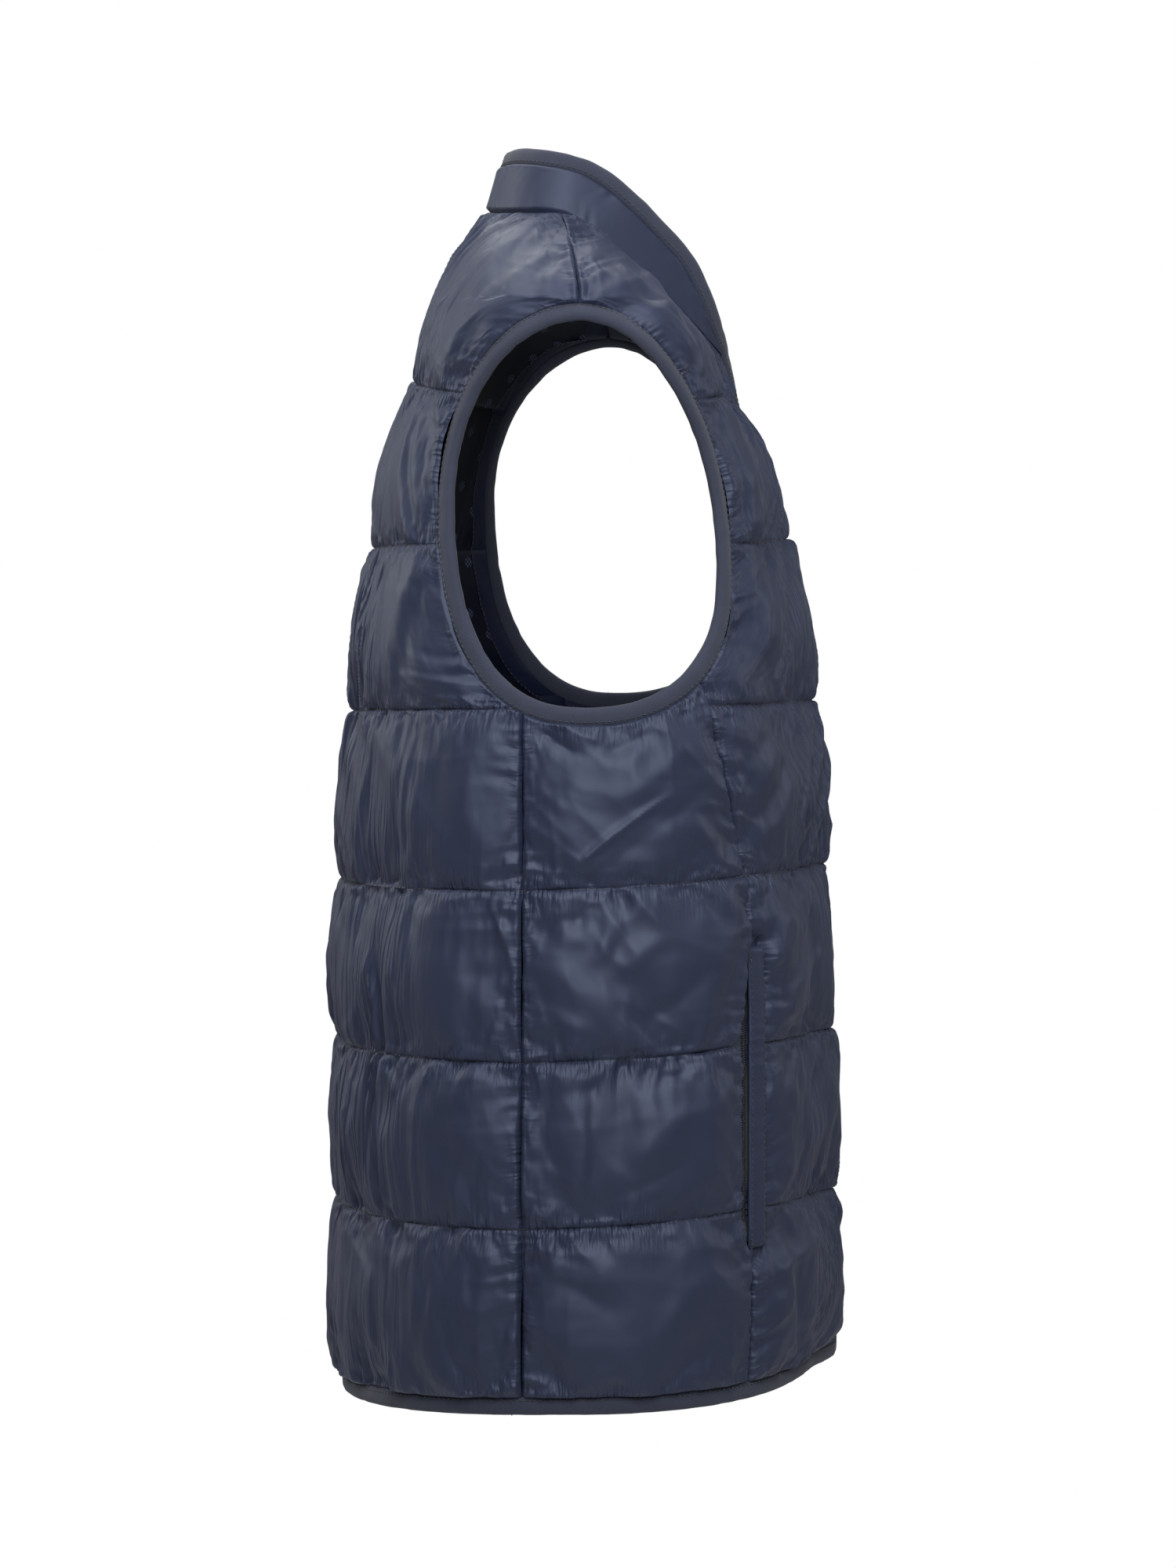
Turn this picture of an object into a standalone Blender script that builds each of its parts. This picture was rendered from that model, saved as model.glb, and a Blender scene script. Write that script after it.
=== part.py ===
"""Quilted stand-collar vest: padded panels, lining, bindings, pocket welts and zips, and press stud caps.

The inside of the cloth is one surface through the rings below, from hem to neck. Theta is the angle in plan,
0 at the centre front, 90 at the wearer's right side and 180 at the centre back. T counts the rings upwards.
Pieces of the left side are the right side's, mirrored. Front faces -Y, the wearer's right is -X.
"""

import bmesh
import bpy
import numpy as np
from mathutils import Matrix, Vector

# Columns: half width, y at the side, back and front, z at the side, back and front, plan power, height power.
BODY_RINGS = np.array(
    [
        (0.196, -0.004, 0.132, -0.1275, -0.594, -0.603, -0.586, 2.4, 1.4),
        (0.196, -0.004, 0.131, -0.1245, -0.497, -0.500, -0.494, 2.4, 1.4),
        (0.193, -0.004, 0.1315, -0.123, -0.392, -0.395, -0.390, 2.4, 1.4),
        (0.189, -0.004, 0.128, -0.118, -0.302, -0.305, -0.300, 2.4, 1.4),
        (0.184, -0.005, 0.1215, -0.1115, -0.220, -0.220, -0.220, 2.4, 1.4),
        (0.177, -0.005, 0.1065, -0.097, -0.124, -0.122, -0.138, 2.4, 1.4),
        (0.168, -0.005, 0.078, -0.0765, -0.033, -0.018, -0.086, 2.2, 1.4),
        (0.078, 0.0105, 0.0525, -0.068, 0.030, 0.036, -0.047, 2.0, 1.4),
    ]
)
COLLAR_TOP = (0.068, 0.004, 0.0425, -0.080, 0.055, 0.069, -0.027, 2.0, 1.8)
TOP = len(BODY_RINGS) - 1
FORWARD = np.array([0.0, -1.0, 0.0])

# Quilting lines from the hem up. Columns: z at the piece's centre edge, z at its side edge.
BACK_LINES = (
    (-0.504, -0.506),
    (-0.415, -0.419),
    (-0.330, -0.329),
    (-0.240, -0.234),
    (-0.151, -0.148),
    (-0.056, -0.068),
)
FRONT_LINES = (
    (-0.503, -0.499),
    (-0.414, -0.412),
    (-0.323, -0.323),
    (-0.233, -0.233),
    (-0.142, -0.148),
    (-0.066, -0.072),
)
# Columns: z at the front seam, z at the back seam.
SIDE_LINES = ((-0.499, -0.506), (-0.412, -0.419), (-0.323, -0.329))

# Armhole opening in side view. Columns: y, z.
ARM_TOP = (-0.004, -0.032)
ARM_BACK = (0.0605, -0.1255)
ARM_BOTTOM = (-0.008, -0.233)
ARM_FRONT = (-0.072, -0.168)
ARM_POWERS = {"top_back": 2.0, "bottom_back": 2.4, "bottom_front": 2.4, "top_front": 2.0}

BACK_SEAM_Y = 0.024
# Front side seam. Columns: z, y.
FRONT_SEAM = ((-0.603, -0.0905), (-0.393, -0.0905), (-0.323, -0.088), (-0.218, -0.0655))

SEAM_GAP = 0.0004
HALF_GAP = SEAM_GAP / 2
STITCHED = 0.003
PUFFED = 0.010
LINE_PUFF = 0.35
PUFF_REACH = 0.026
COLLAR_EDGE = 0.003
COLLAR_MIDDLE = 0.0045
LINING_FACES = (-0.0020, -0.0030)
LINING_MARGIN = 0.0055
BINDING_WIDTH = 0.009
BINDING_GAP = 0.0006
BINDING_FACES = (-0.0032, 0.0036)

CORNER_RADIUS = 0.032
LAP_PAST_CENTRE = 0.004
LAP_RISE = 0.0084
LAP_FLAT = 0.024
LAP_BLEND = 0.075
PLACKET = 0.022
V_START = 6.15
COLLAR_END = np.radians(16)
COLLAR_FULL = np.radians(55)
COLLAR_END_SHARE = 0.2

POCKET_TOP = -0.359
POCKET_BOTTOM = -0.521
POCKET_GAP = 0.0048
WELT_WIDTH = 0.010
WELT_THICKNESS = 0.002
ZIP_THICKNESS = 0.002
ZIP_SHARE = 0.6
STUD_HEIGHTS = (-0.187, -0.278, -0.368, -0.458, -0.548)
STUD_RADIUS = 0.006
STUD_THICKNESS = 0.0014

# Where rows of points fall in one quilted cell, as shares of its height.
CELL_ROWS = (0.0, 0.07, 0.3, 0.7, 0.93)
HEM_ROWS = (0.0, 0.08, 0.17, 0.27, 0.4, 0.6, 0.8, 0.94)
YOKE_ROWS = (0.0, 0.04, 0.12, 0.25, 0.38, 0.5, 0.62, 0.74, 0.86, 0.95)
LINING_ROWS = (0.0, 0.12, 0.28, 0.38, 0.5, 0.62, 0.72, 0.86, 1.0)

COLOURS = {
    "shell": (0.045, 0.052, 0.085, 1.0),
    "lining": (0.012, 0.015, 0.030, 1.0),
    "binding": (0.060, 0.066, 0.090, 1.0),
    "zip": (0.020, 0.022, 0.032, 1.0),
    "stud": (0.035, 0.040, 0.065, 1.0),
}


def smooth(share):
    share = np.clip(share, 0.0, 1.0)
    return share * share * (3.0 - 2.0 * share)


def ring_point(ring, theta):
    half, y_side, y_back, y_front, z_side, z_back, z_front, plan, height = ring
    across = np.sin(theta)
    along = np.cos(theta)
    ahead = along > 0
    depth = np.where(ahead, y_side - y_front, y_back - y_side)
    reach = (np.abs(across / half) ** plan + np.abs(along / depth) ** plan) ** (-1.0 / plan)
    z_end = np.where(ahead, z_front, z_back)
    z = z_side + (z_end - z_side) * np.abs(along) ** height
    return np.stack([-reach * across, y_side - reach * along, z], axis=-1)


def body_point(theta, t):
    theta, t = np.broadcast_arrays(np.asarray(theta, float), np.asarray(t, float))
    low = np.clip(np.floor(t).astype(int), 0, TOP - 1)
    part = (t - low)[..., None]
    rings = np.stack([ring_point(ring, theta) for ring in BODY_RINGS])

    def ring_at(step):
        index = np.clip(low + step, 0, TOP)[None, ..., None]
        return np.take_along_axis(rings, index, axis=0)[0]

    before, start, end, after = (ring_at(step) for step in (-1, 0, 1, 2))
    rise = 3 * part**2 - 2 * part**3
    leave = part * (1 - part) ** 2
    arrive = part**2 * (part - 1)
    return start * (1 - rise) + end * rise + leave * (end - before) / 2 + arrive * (after - start) / 2


def collar_point(theta, u):
    theta, u = np.broadcast_arrays(np.asarray(theta, float), np.asarray(u, float))
    grown = smooth((theta - COLLAR_END) / (COLLAR_FULL - COLLAR_END))
    share = COLLAR_END_SHARE + (1 - COLLAR_END_SHARE) * grown
    low = ring_point(BODY_RINGS[TOP], theta)
    return low + (ring_point(COLLAR_TOP, theta) - low) * (u * share)[..., None]


def normal_of(point, theta, t, last):
    step = 1e-4
    turn = point(theta + step, t) - point(theta - step, t)
    climb = point(theta, np.minimum(t + step, last)) - point(theta, np.maximum(t - step, 0.0))
    normal = np.cross(climb, turn)
    return normal / np.linalg.norm(normal, axis=-1, keepdims=True)


def body_normal(theta, t):
    """The surface's normal, and at the neck the one halfway to the collar's, so that both meet in a mitre."""
    theta, t = np.broadcast_arrays(np.asarray(theta, float), np.asarray(t, float))
    at_neck = np.clip((t - TOP + 0.06) / 0.04, 0.0, 1.0)[..., None]
    normal = normal_of(body_point, theta, t, TOP) * (1 - at_neck) + neck_normal(theta) * at_neck
    return normal / np.linalg.norm(normal, axis=-1, keepdims=True)


def neck_normal(theta):
    below = normal_of(body_point, theta, np.full_like(theta, TOP), TOP)
    normal = below + normal_of(collar_point, theta, np.zeros_like(theta), 1.0)
    return normal / np.linalg.norm(normal, axis=-1, keepdims=True)


def lap_rise(points):
    """How far the right front stands off the shared surface, so that it lies on the left front."""
    near_centre = 1 - smooth((-points[..., 0] - LAP_FLAT) / (LAP_BLEND - LAP_FLAT))
    ahead = smooth((0.02 - points[..., 1]) / 0.05)
    return LAP_RISE * near_centre * ahead


def cloth(theta, t, offset, lapped=False):
    points = body_point(theta, t)
    offset = np.broadcast_to(offset, points.shape[:-1])[..., None]
    lift = lap_rise(points)[..., None] if lapped else 0.0
    return points + body_normal(theta, t) * offset + FORWARD * lift


def theta_at(y, t):
    """The angle on the right side at which the ring at t passes through y."""
    angles = np.radians(np.linspace(15, 165, 301))
    return np.array([np.interp(y_one, body_point(angles, t_one)[:, 1], angles) for y_one, t_one in zip(y, t)])


def armhole_outline(angle, grow):
    """Points y, z of the armhole, from its top (0) by the back (90), bottom (180) and front (270 degrees)."""
    sine = np.abs(np.sin(angle))
    cosine = np.abs(np.cos(angle))
    behind = np.sin(angle) >= 0
    above = np.cos(angle) >= 0
    power_above = np.where(behind, ARM_POWERS["top_back"], ARM_POWERS["top_front"])
    power_below = np.where(behind, ARM_POWERS["bottom_back"], ARM_POWERS["bottom_front"])
    power = np.where(above, power_above, power_below)
    y_end = np.where(above, ARM_TOP[0], ARM_BOTTOM[0])
    z_end = np.where(above, ARM_TOP[1] + grow, ARM_BOTTOM[1] - grow)
    y_side = np.where(behind, ARM_BACK[0] + grow, ARM_FRONT[0] - grow)
    z_side = np.where(behind, ARM_BACK[1], ARM_FRONT[1])
    y = y_end + (y_side - y_end) * sine ** (2 / power)
    z = z_side + (z_end - z_side) * cosine ** (2 / power)
    return y, z


def on_side(y, z):
    """Theta and t of the right side's points at y, z, by Newton's steps."""
    theta = np.full_like(y, np.pi / 2)
    t = np.full_like(y, 5.0)
    step = 1e-5
    for _ in range(60):
        here = body_point(theta, t)
        by_theta = (body_point(theta + step, t) - here) / step
        by_t = (body_point(theta, t + step) - here) / step
        miss_y = y - here[:, 1]
        miss_z = z - here[:, 2]
        scale = by_theta[:, 1] * by_t[:, 2] - by_theta[:, 2] * by_t[:, 1]
        move_theta = (miss_y * by_t[:, 2] - miss_z * by_t[:, 1]) / scale
        move_t = (miss_z * by_theta[:, 1] - miss_y * by_theta[:, 2]) / scale
        theta = np.clip(theta + np.clip(move_theta, -0.2, 0.2), 0.3, 2.9)
        t = np.clip(t + np.clip(move_t, -0.4, 0.4), 0.0, TOP - 0.05)
    return theta, t


class Line:
    """A line on the body surface, measured along its length."""

    def __init__(self, theta, t, corners=()):
        points = body_point(theta, t)
        steps = np.linalg.norm(np.diff(points, axis=0), axis=1)
        self.theta = theta
        self.t = t
        self.z = points[:, 2]
        self.length = np.concatenate([[0.0], np.cumsum(steps)])
        self.corners = [self.length[index] for index in corners]

    def at_height(self, z):
        return np.interp(z, self.z, self.length)

    def at(self, length):
        return np.interp(length, self.length, self.theta), np.interp(length, self.length, self.t)


def armhole_line():
    angle = np.radians(np.linspace(0, 360, 361))
    return on_side(*armhole_outline(angle, BINDING_WIDTH))


ARM_THETA, ARM_T = armhole_line()
ARM_POINTS = body_point(ARM_THETA, ARM_T)


def armhole_corner(y, back):
    """Index of the armhole point, below its middle, where the seam at y meets it."""
    span = range(90, 181) if back else range(180, 271)
    return min(span, key=lambda index: abs(ARM_POINTS[index, 1] - y))


BACK_CORNER = armhole_corner(BACK_SEAM_Y, True)
FRONT_CORNER = armhole_corner(FRONT_SEAM[-1][1], False)


def front_seam_y(z):
    table = np.array(FRONT_SEAM)
    return np.interp(z, table[:, 0], table[:, 1])


def seam_line(corner, y_at):
    """A side seam from the hem up to its corner at the armhole."""
    t = np.linspace(0.0, ARM_T[corner], 120)
    theta = theta_at(np.full_like(t, ARM_POINTS[corner, 1]), t)
    for _ in range(4):
        theta = theta_at(y_at(body_point(theta, t)[:, 2]), t)
    theta[-1] = ARM_THETA[corner]
    return theta, t


def with_shoulder(seam, arm):
    """A panel's outer side: seam, armhole edge, then the shoulder seam up to the neck."""
    share = np.linspace(0.0, 1.0, 40)[1:]
    theta = ARM_THETA[0] + (np.pi / 2 - ARM_THETA[0]) * share
    t = ARM_T[0] + (TOP - ARM_T[0]) * share
    return Line(
        np.concatenate([seam[0][:-1], ARM_THETA[arm], theta]),
        np.concatenate([seam[1][:-1], ARM_T[arm], t]),
        (len(seam[0]) - 1, len(seam[0]) + len(arm) - 2),
    )


def front_edge_line():
    """The front panel's free edge: rounded hem corner, straight front, then the V up to the collar's end."""
    depth = -body_point(0.0, 0.0)[1]
    lap = -LAP_PAST_CENTRE / depth
    climb = np.linspace(0.0, 1.0, 200)
    heights = body_point(0.0, climb)[:, 2] - body_point(0.0, 0.0)[2]
    turn = np.radians(np.linspace(0, 90, 25))
    corner_theta = lap + CORNER_RADIUS * (1 - np.sin(turn)) / depth
    corner_t = np.interp(CORNER_RADIUS * (1 - np.cos(turn)), heights, climb)
    t = np.linspace(corner_t[-1], TOP, 240)[1:]
    theta = lap + (COLLAR_END - lap) * smooth((t - V_START) / (TOP - V_START))
    return Line(np.concatenate([corner_theta, theta]), np.concatenate([corner_t, t]))


def rows_between(inner, outer, lines, yoke):
    """Row ends on both sides of a panel, and each row's share of the puff."""
    inner_stops = [0.0, *(inner.at_height(line[0]) for line in lines), inner.length[-1]]
    outer_stops = [0.0, *(outer.at_height(line[1]) for line in lines), outer.length[-1]]
    inner_rows, outer_rows, puffs, plain = [], [], [], []
    cells = len(inner_stops) - 1
    for cell in range(cells):
        shares = CELL_ROWS
        if cell == 0:
            shares = HEM_ROWS
        if cell == cells - 1 and yoke:
            shares = YOKE_ROWS
        if cell == cells - 1:
            shares = (*shares, 1.0)
        for share in shares:
            inner_rows.append(inner_stops[cell] + (inner_stops[cell + 1] - inner_stops[cell]) * share)
            outer_rows.append(outer_stops[cell] + (outer_stops[cell + 1] - outer_stops[cell]) * share)
            puffs.append(LINE_PUFF + (1 - LINE_PUFF) * np.sqrt(max(0.0, 1 - (2 * share - 1) ** 4)))
            plain.append(min(abs(share - mark) for mark in LINING_ROWS) < 0.03)
    outer_rows = np.array(outer_rows)
    for corner in outer.corners:
        outer_rows[np.argmin(np.abs(outer_rows - corner))] = corner
    return inner.at(np.array(inner_rows)), outer.at(outer_rows), np.array(puffs), np.array(plain), outer_rows


def span(start, end, near_start, near_end, middle, margin):
    """Theta and t of a panel's points: rows run straight in theta and t from one side to the other."""
    ends = body_point(*start) - body_point(*end)
    width = np.linalg.norm(ends, axis=1)[:, None]
    first = np.maximum(np.array(near_start), margin) / width
    last = 1 - np.maximum(np.array(near_end)[::-1], margin) / width
    shares = np.linspace(0, 1, middle + 2)[1:-1]
    between = first[:, -1:] + (last[:, :1] - first[:, -1:]) * shares
    part = np.hstack([first, between, last])
    theta = start[0][:, None] + (end[0] - start[0])[:, None] * part
    t = start[1][:, None] + (end[1] - start[1])[:, None] * part
    return np.clip(theta, -0.2, np.pi), np.clip(t, 0.0, TOP), part * width


def rise_from_edge(distance):
    share = np.clip(distance / PUFF_REACH, 0.0, 1.0)
    return np.sqrt(1 - (1 - share) ** 2)


def mesh_object(name, material, bm):
    bmesh.ops.recalc_face_normals(bm, faces=bm.faces)
    mesh = bpy.data.meshes.new(name)
    bm.to_mesh(mesh)
    bm.free()
    mesh.materials.append(MATERIALS[material])
    VEST.objects.link(bpy.data.objects.new(name, mesh))


def wall(name, material, inside, outside):
    """A closed sheet between two grids of points."""
    bm = bmesh.new()
    rows, columns = inside.shape[:2]
    grids = [[[bm.verts.new(point) for point in row] for row in grid] for grid in (inside, outside)]
    low, high = grids
    for i in range(rows - 1):
        for j in range(columns - 1):
            for grid in grids:
                bm.faces.new((grid[i][j], grid[i][j + 1], grid[i + 1][j + 1], grid[i + 1][j]))
    rim = [(i, 0) for i in range(rows)]
    rim += [(rows - 1, j) for j in range(1, columns)]
    rim += [(i, columns - 1) for i in range(rows - 2, -1, -1)]
    rim += [(0, j) for j in range(columns - 2, 0, -1)]
    for (i, j), (k, m) in zip(rim, rim[1:] + rim[:1]):
        bm.faces.new((low[i][j], low[k][m], high[k][m], high[i][j]))
    mesh_object(name, material, bm)


def mirrored(points):
    return points * np.array([-1.0, 1.0, 1.0])


def both_halves(right):
    """A piece across the centre back: its right half, columns towards the centre, and its mirror image."""
    left = mirrored(right)[:, ::-1]
    return np.concatenate([right, left[:, 1:]], axis=1)


def tube(name, material, path):
    """A binding: one flat rounded section carried round a closed path of edge point, way out and normal."""
    edge, outward, normal = path
    low, high = BINDING_FACES
    middle = (low + high) / 2
    section = (
        (BINDING_GAP, low),
        (BINDING_GAP, high),
        (BINDING_WIDTH * 0.6, high),
        (BINDING_WIDTH, middle + 0.0016),
        (BINDING_WIDTH, middle - 0.0016),
        (BINDING_WIDTH * 0.6, low),
    )
    rings = [edge + outward * out + normal * up for out, up in section]
    bm = bmesh.new()
    verts = [[bm.verts.new(ring[i]) for ring in rings] for i in range(len(edge))]
    count = len(section)
    for one, two in zip(verts, verts[1:] + verts[:1]):
        for k in range(count):
            bm.faces.new((one[k], one[(k + 1) % count], two[(k + 1) % count], two[k]))
    mesh_object(name, material, bm)


def edge_frame(edge, normal, inside):
    """Directions of a closed edge: out of the cloth, and its normal, made square to the path."""
    along = np.roll(edge, -1, axis=0) - np.roll(edge, 1, axis=0)
    along /= np.linalg.norm(along, axis=1, keepdims=True)
    normal = normal - along * np.sum(normal * along, axis=1, keepdims=True)
    normal /= np.linalg.norm(normal, axis=1, keepdims=True)
    outward = np.cross(normal, along)
    wrong = np.sum(outward * (edge - inside), axis=1, keepdims=True) < 0
    outward = np.where(wrong, -outward, outward)
    return edge, outward, normal


def material_of(name, colour):
    material = bpy.data.materials.new(name)
    material.use_nodes = True
    shader = material.node_tree.nodes["Principled BSDF"]
    shader.inputs["Base Color"].default_value = colour
    shader.inputs["Roughness"].default_value = 0.5
    material.diffuse_color = colour
    return material


# Panels: where the points of each piece fall on the surface.
CENTRE_BACK = Line(np.full(300, np.pi), np.linspace(0.0, TOP, 300))
BACK_SEAM = seam_line(BACK_CORNER, lambda z: np.full_like(z, BACK_SEAM_Y))
FRONT_SIDE_SEAM = seam_line(FRONT_CORNER, front_seam_y)
BACK_SIDE = with_shoulder(BACK_SEAM, np.arange(BACK_CORNER, -1, -1))
FRONT_SIDE = with_shoulder(FRONT_SIDE_SEAM, np.arange(FRONT_CORNER, 361))
FRONT_EDGE = front_edge_line()
SEAM_COLUMNS = (0.0, 0.006, 0.014, 0.026)
FRONT_SEAM_COLUMNS = (0.0, 0.006, 0.012, 0.020, 0.036)
EDGE_COLUMNS = (0.0, 0.010, PLACKET, PLACKET + 0.007, PLACKET + 0.018)


def tops_below_neck(theta, t):
    """Keeps a panel's top row half a seam gap short of the neck line."""
    climb = body_point(theta[-1], t[-1]) - body_point(theta[-1], t[-1] - 0.01)
    t[-1] -= 0.01 * HALF_GAP / np.linalg.norm(climb, axis=1)
    return theta, t


def back_grid():
    centre, side, puffs, plain, _ = rows_between(CENTRE_BACK, BACK_SIDE, BACK_LINES, True)
    theta, t, distance = span(side, centre, SEAM_COLUMNS, (0.0,), 7, 0.0)
    theta[:, 0] += (theta[:, 1] - theta[:, 0]) * HALF_GAP / SEAM_COLUMNS[1]
    theta, t = tops_below_neck(theta, t)
    return theta, t, puffs[:, None] * rise_from_edge(distance), plain


def front_grid():
    edge, side, puffs, plain, _ = rows_between(FRONT_EDGE, FRONT_SIDE, FRONT_LINES, True)
    theta, t, distance = span(side, edge, FRONT_SEAM_COLUMNS, EDGE_COLUMNS, 2, 0.0)
    theta[:, 0] += (theta[:, 1] - theta[:, 0]) * HALF_GAP / FRONT_SEAM_COLUMNS[1]
    theta, t = tops_below_neck(theta, t)
    z = body_point(*side)[:, 2]
    near_pocket = smooth((z - POCKET_BOTTOM + 0.05) / 0.02) * smooth((POCKET_TOP + 0.05 - z) / 0.02)
    from_seam = rise_from_edge(np.maximum(distance - 0.012 * near_pocket[:, None], 0.0))
    from_edge = rise_from_edge(np.maximum(distance[:, -1:] - distance - PLACKET, 0.0))
    return theta, t, puffs[:, None] * from_seam * from_edge, plain


def pocket_gap(z):
    """How far the side panel's edge stands back from the front's along the pocket."""
    share = np.clip((z - POCKET_BOTTOM) / (POCKET_TOP - POCKET_BOTTOM), 0.0, 1.0)
    return POCKET_GAP * np.sqrt(np.sin(np.pi * share))


def side_grid():
    front = Line(*FRONT_SIDE_SEAM)
    back = Line(*BACK_SEAM)
    front_ends, back_ends, puffs, plain, _ = rows_between(front, back, SIDE_LINES, False)
    theta, t, distance = span(front_ends, back_ends, SEAM_COLUMNS, SEAM_COLUMNS, 2, 0.0)
    bottom = np.arange(FRONT_CORNER, BACK_CORNER - 1, -1)
    share = (theta - theta[:, :1]) / (theta[:, -1:] - theta[:, :1])
    arm_t = np.interp(theta[-1], ARM_THETA[bottom], ARM_T[bottom])
    straight_t = t[-1].copy()
    start = np.flatnonzero(puffs < LINE_PUFF + 1e-6)[-2]
    climb = (t[start:, :1] - t[start, 0]) / (t[-1, 0] - t[start, 0])
    t[start:] += (arm_t - straight_t) * climb**2
    gap = HALF_GAP + pocket_gap(body_point(theta[:, 0], t[:, 0])[:, 2])
    width = np.linalg.norm(body_point(*front_ends) - body_point(*back_ends), axis=1)
    room = (theta[:, -1:] - theta[:, :1]) / width[:, None]
    theta += room * (gap[:, None] * (1 - share) - HALF_GAP * share)
    far = distance[:, -1:] - distance
    return theta, t, puffs[:, None] * rise_from_edge(distance) * rise_from_edge(far), plain


def shell_offsets(puff):
    return STITCHED + (PUFFED - STITCHED) * puff


def thinned(grid, plain, columns):
    """Every row between cells and in mid-cell, and the chosen columns, for the lining."""
    return grid[np.ix_(np.flatnonzero(plain), columns)]


def pulled_in(theta, t):
    """The lining's points, with its edges drawn back from the panel's."""
    points = body_point(theta, t)
    for axis in (0, 1):
        grids = [np.moveaxis(grid, axis, 0) for grid in (theta, t, points)]
        for edge, inner in ((0, 1), (-1, -2)):
            step = np.linalg.norm(grids[2][inner] - grids[2][edge], axis=-1)
            share = LINING_MARGIN / step
            grids[0][edge] += (grids[0][inner] - grids[0][edge]) * share
            grids[1][edge] += (grids[1][inner] - grids[1][edge]) * share
    return theta, t


def panel(name, grid, lining_columns, lapped=False, across=False, left=False):
    theta, t, puff, plain = grid
    inside = cloth(theta, t, 0.0, lapped)
    outside = cloth(theta, t, shell_offsets(puff), lapped)
    thin_theta = thinned(theta, plain, lining_columns)
    thin_t = thinned(t, plain, lining_columns)
    if across:
        thin_theta = np.hstack([thin_theta, 2 * np.pi - thin_theta[:, -2::-1]])
        thin_t = np.hstack([thin_t, thin_t[:, -2::-1]])
        inside = both_halves(inside)
        outside = both_halves(outside)
    thin_theta, thin_t = pulled_in(thin_theta, thin_t)
    lining = [cloth(thin_theta, thin_t, face, lapped) for face in LINING_FACES]
    if left:
        inside, outside, *lining = (mirrored(points) for points in (inside, outside, *lining))
    wall(name, "shell", inside, outside)
    wall("lining_" + name, "lining", *lining)


def front_row_ends():
    """The front's rows by their length up the side edge, with both ends, for pieces laid on its points."""
    edge, side, _, _, lengths = rows_between(FRONT_EDGE, FRONT_SIDE, FRONT_LINES, True)
    return edge, side, lengths


def strip(name, material, heights, distances, faces, left):
    """A strip along the front side seam, at distances from it that are positive towards the front."""
    edge, _, lengths = front_row_ends()
    stops = FRONT_SIDE.at_height(heights)
    start = FRONT_SIDE.at(stops)
    end = [np.interp(stops, lengths, values) for values in edge]
    width = np.linalg.norm(body_point(*start) - body_point(*end), axis=1)[:, None]
    part = distances / width
    theta = start[0][:, None] + (end[0] - start[0])[:, None] * part
    t = start[1][:, None] + (end[1] - start[1])[:, None] * part
    sheets = [cloth(theta, t, face) for face in faces]
    if left:
        sheets = [mirrored(sheet) for sheet in sheets]
    wall(name, material, *sheets)


def pocket(side, left):
    heights = np.linspace(POCKET_BOTTOM, POCKET_TOP, 12)
    columns = np.array([SEAM_GAP, WELT_WIDTH / 2, WELT_WIDTH])
    low = STITCHED + SEAM_GAP
    strip("welt_" + side, "shell", heights, np.tile(columns, (12, 1)), (low, low + WELT_THICKNESS), left)
    heights = np.linspace(POCKET_BOTTOM + 0.012, POCKET_TOP - 0.012, 11)
    gap = pocket_gap(heights)[:, None]
    columns = np.hstack([np.full_like(gap, -SEAM_GAP), -gap * ZIP_SHARE])
    strip("zip_" + side, "zip", heights, columns, (0.0, ZIP_THICKNESS), left)


def collar_columns(front_theta, back_theta):
    return np.concatenate([front_theta[-1, :0:-1], [np.pi / 2], back_theta[-1, 1:]])


def collar_half(theta, faces, lapped):
    """Grids of points for the collar's right half, one for each face, with rows from the neck seam up."""
    height = np.linalg.norm(collar_point(theta, 1.0) - collar_point(theta, 0.0), axis=1)
    rows = [HALF_GAP / height, np.full_like(height, 0.35), np.full_like(height, 0.7), np.ones_like(height)]
    u = np.stack(rows)
    theta = np.tile(theta, (len(rows), 1))
    points = collar_point(theta, u)
    lift = lap_rise(points) if lapped else np.zeros_like(u)
    normal = normal_of(collar_point, theta, u, 1.0)
    normal[0] = neck_normal(theta[0])
    edge, middle = faces
    offset = edge + (middle - edge) * np.sin(np.pi * u)
    return points + normal * offset[..., None] + FORWARD * lift[..., None], normal


def spaced(path, apart):
    """The path without the points that stand closer than this to the one before."""
    kept = [0]
    for index in range(1, len(path[0])):
        if np.linalg.norm(path[0][index] - path[0][kept[-1]]) > apart:
            kept.append(index)
    if np.linalg.norm(path[0][kept[-1]] - path[0][0]) < apart:
        kept.pop()
    return [values[kept] for values in path]


def edge_points(theta, t, rows, columns, inner_rows, inner_columns, lapped=False):
    """Edge points of a panel, their normals, and the points one step inside."""
    edge_theta = theta[rows, columns]
    edge_t = t[rows, columns]
    edge = cloth(edge_theta, edge_t, 0.0, lapped)
    inside = cloth(theta[inner_rows, inner_columns], t[inner_rows, inner_columns], 0.0, lapped)
    return edge, body_normal(edge_theta, edge_t), inside


def arm_rows(line, lines, centre):
    lengths = rows_between(centre, line, lines, True)[4]
    return np.flatnonzero((lengths > line.corners[0] - 1e-9) & (lengths < line.corners[1] + 1e-9))


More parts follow.
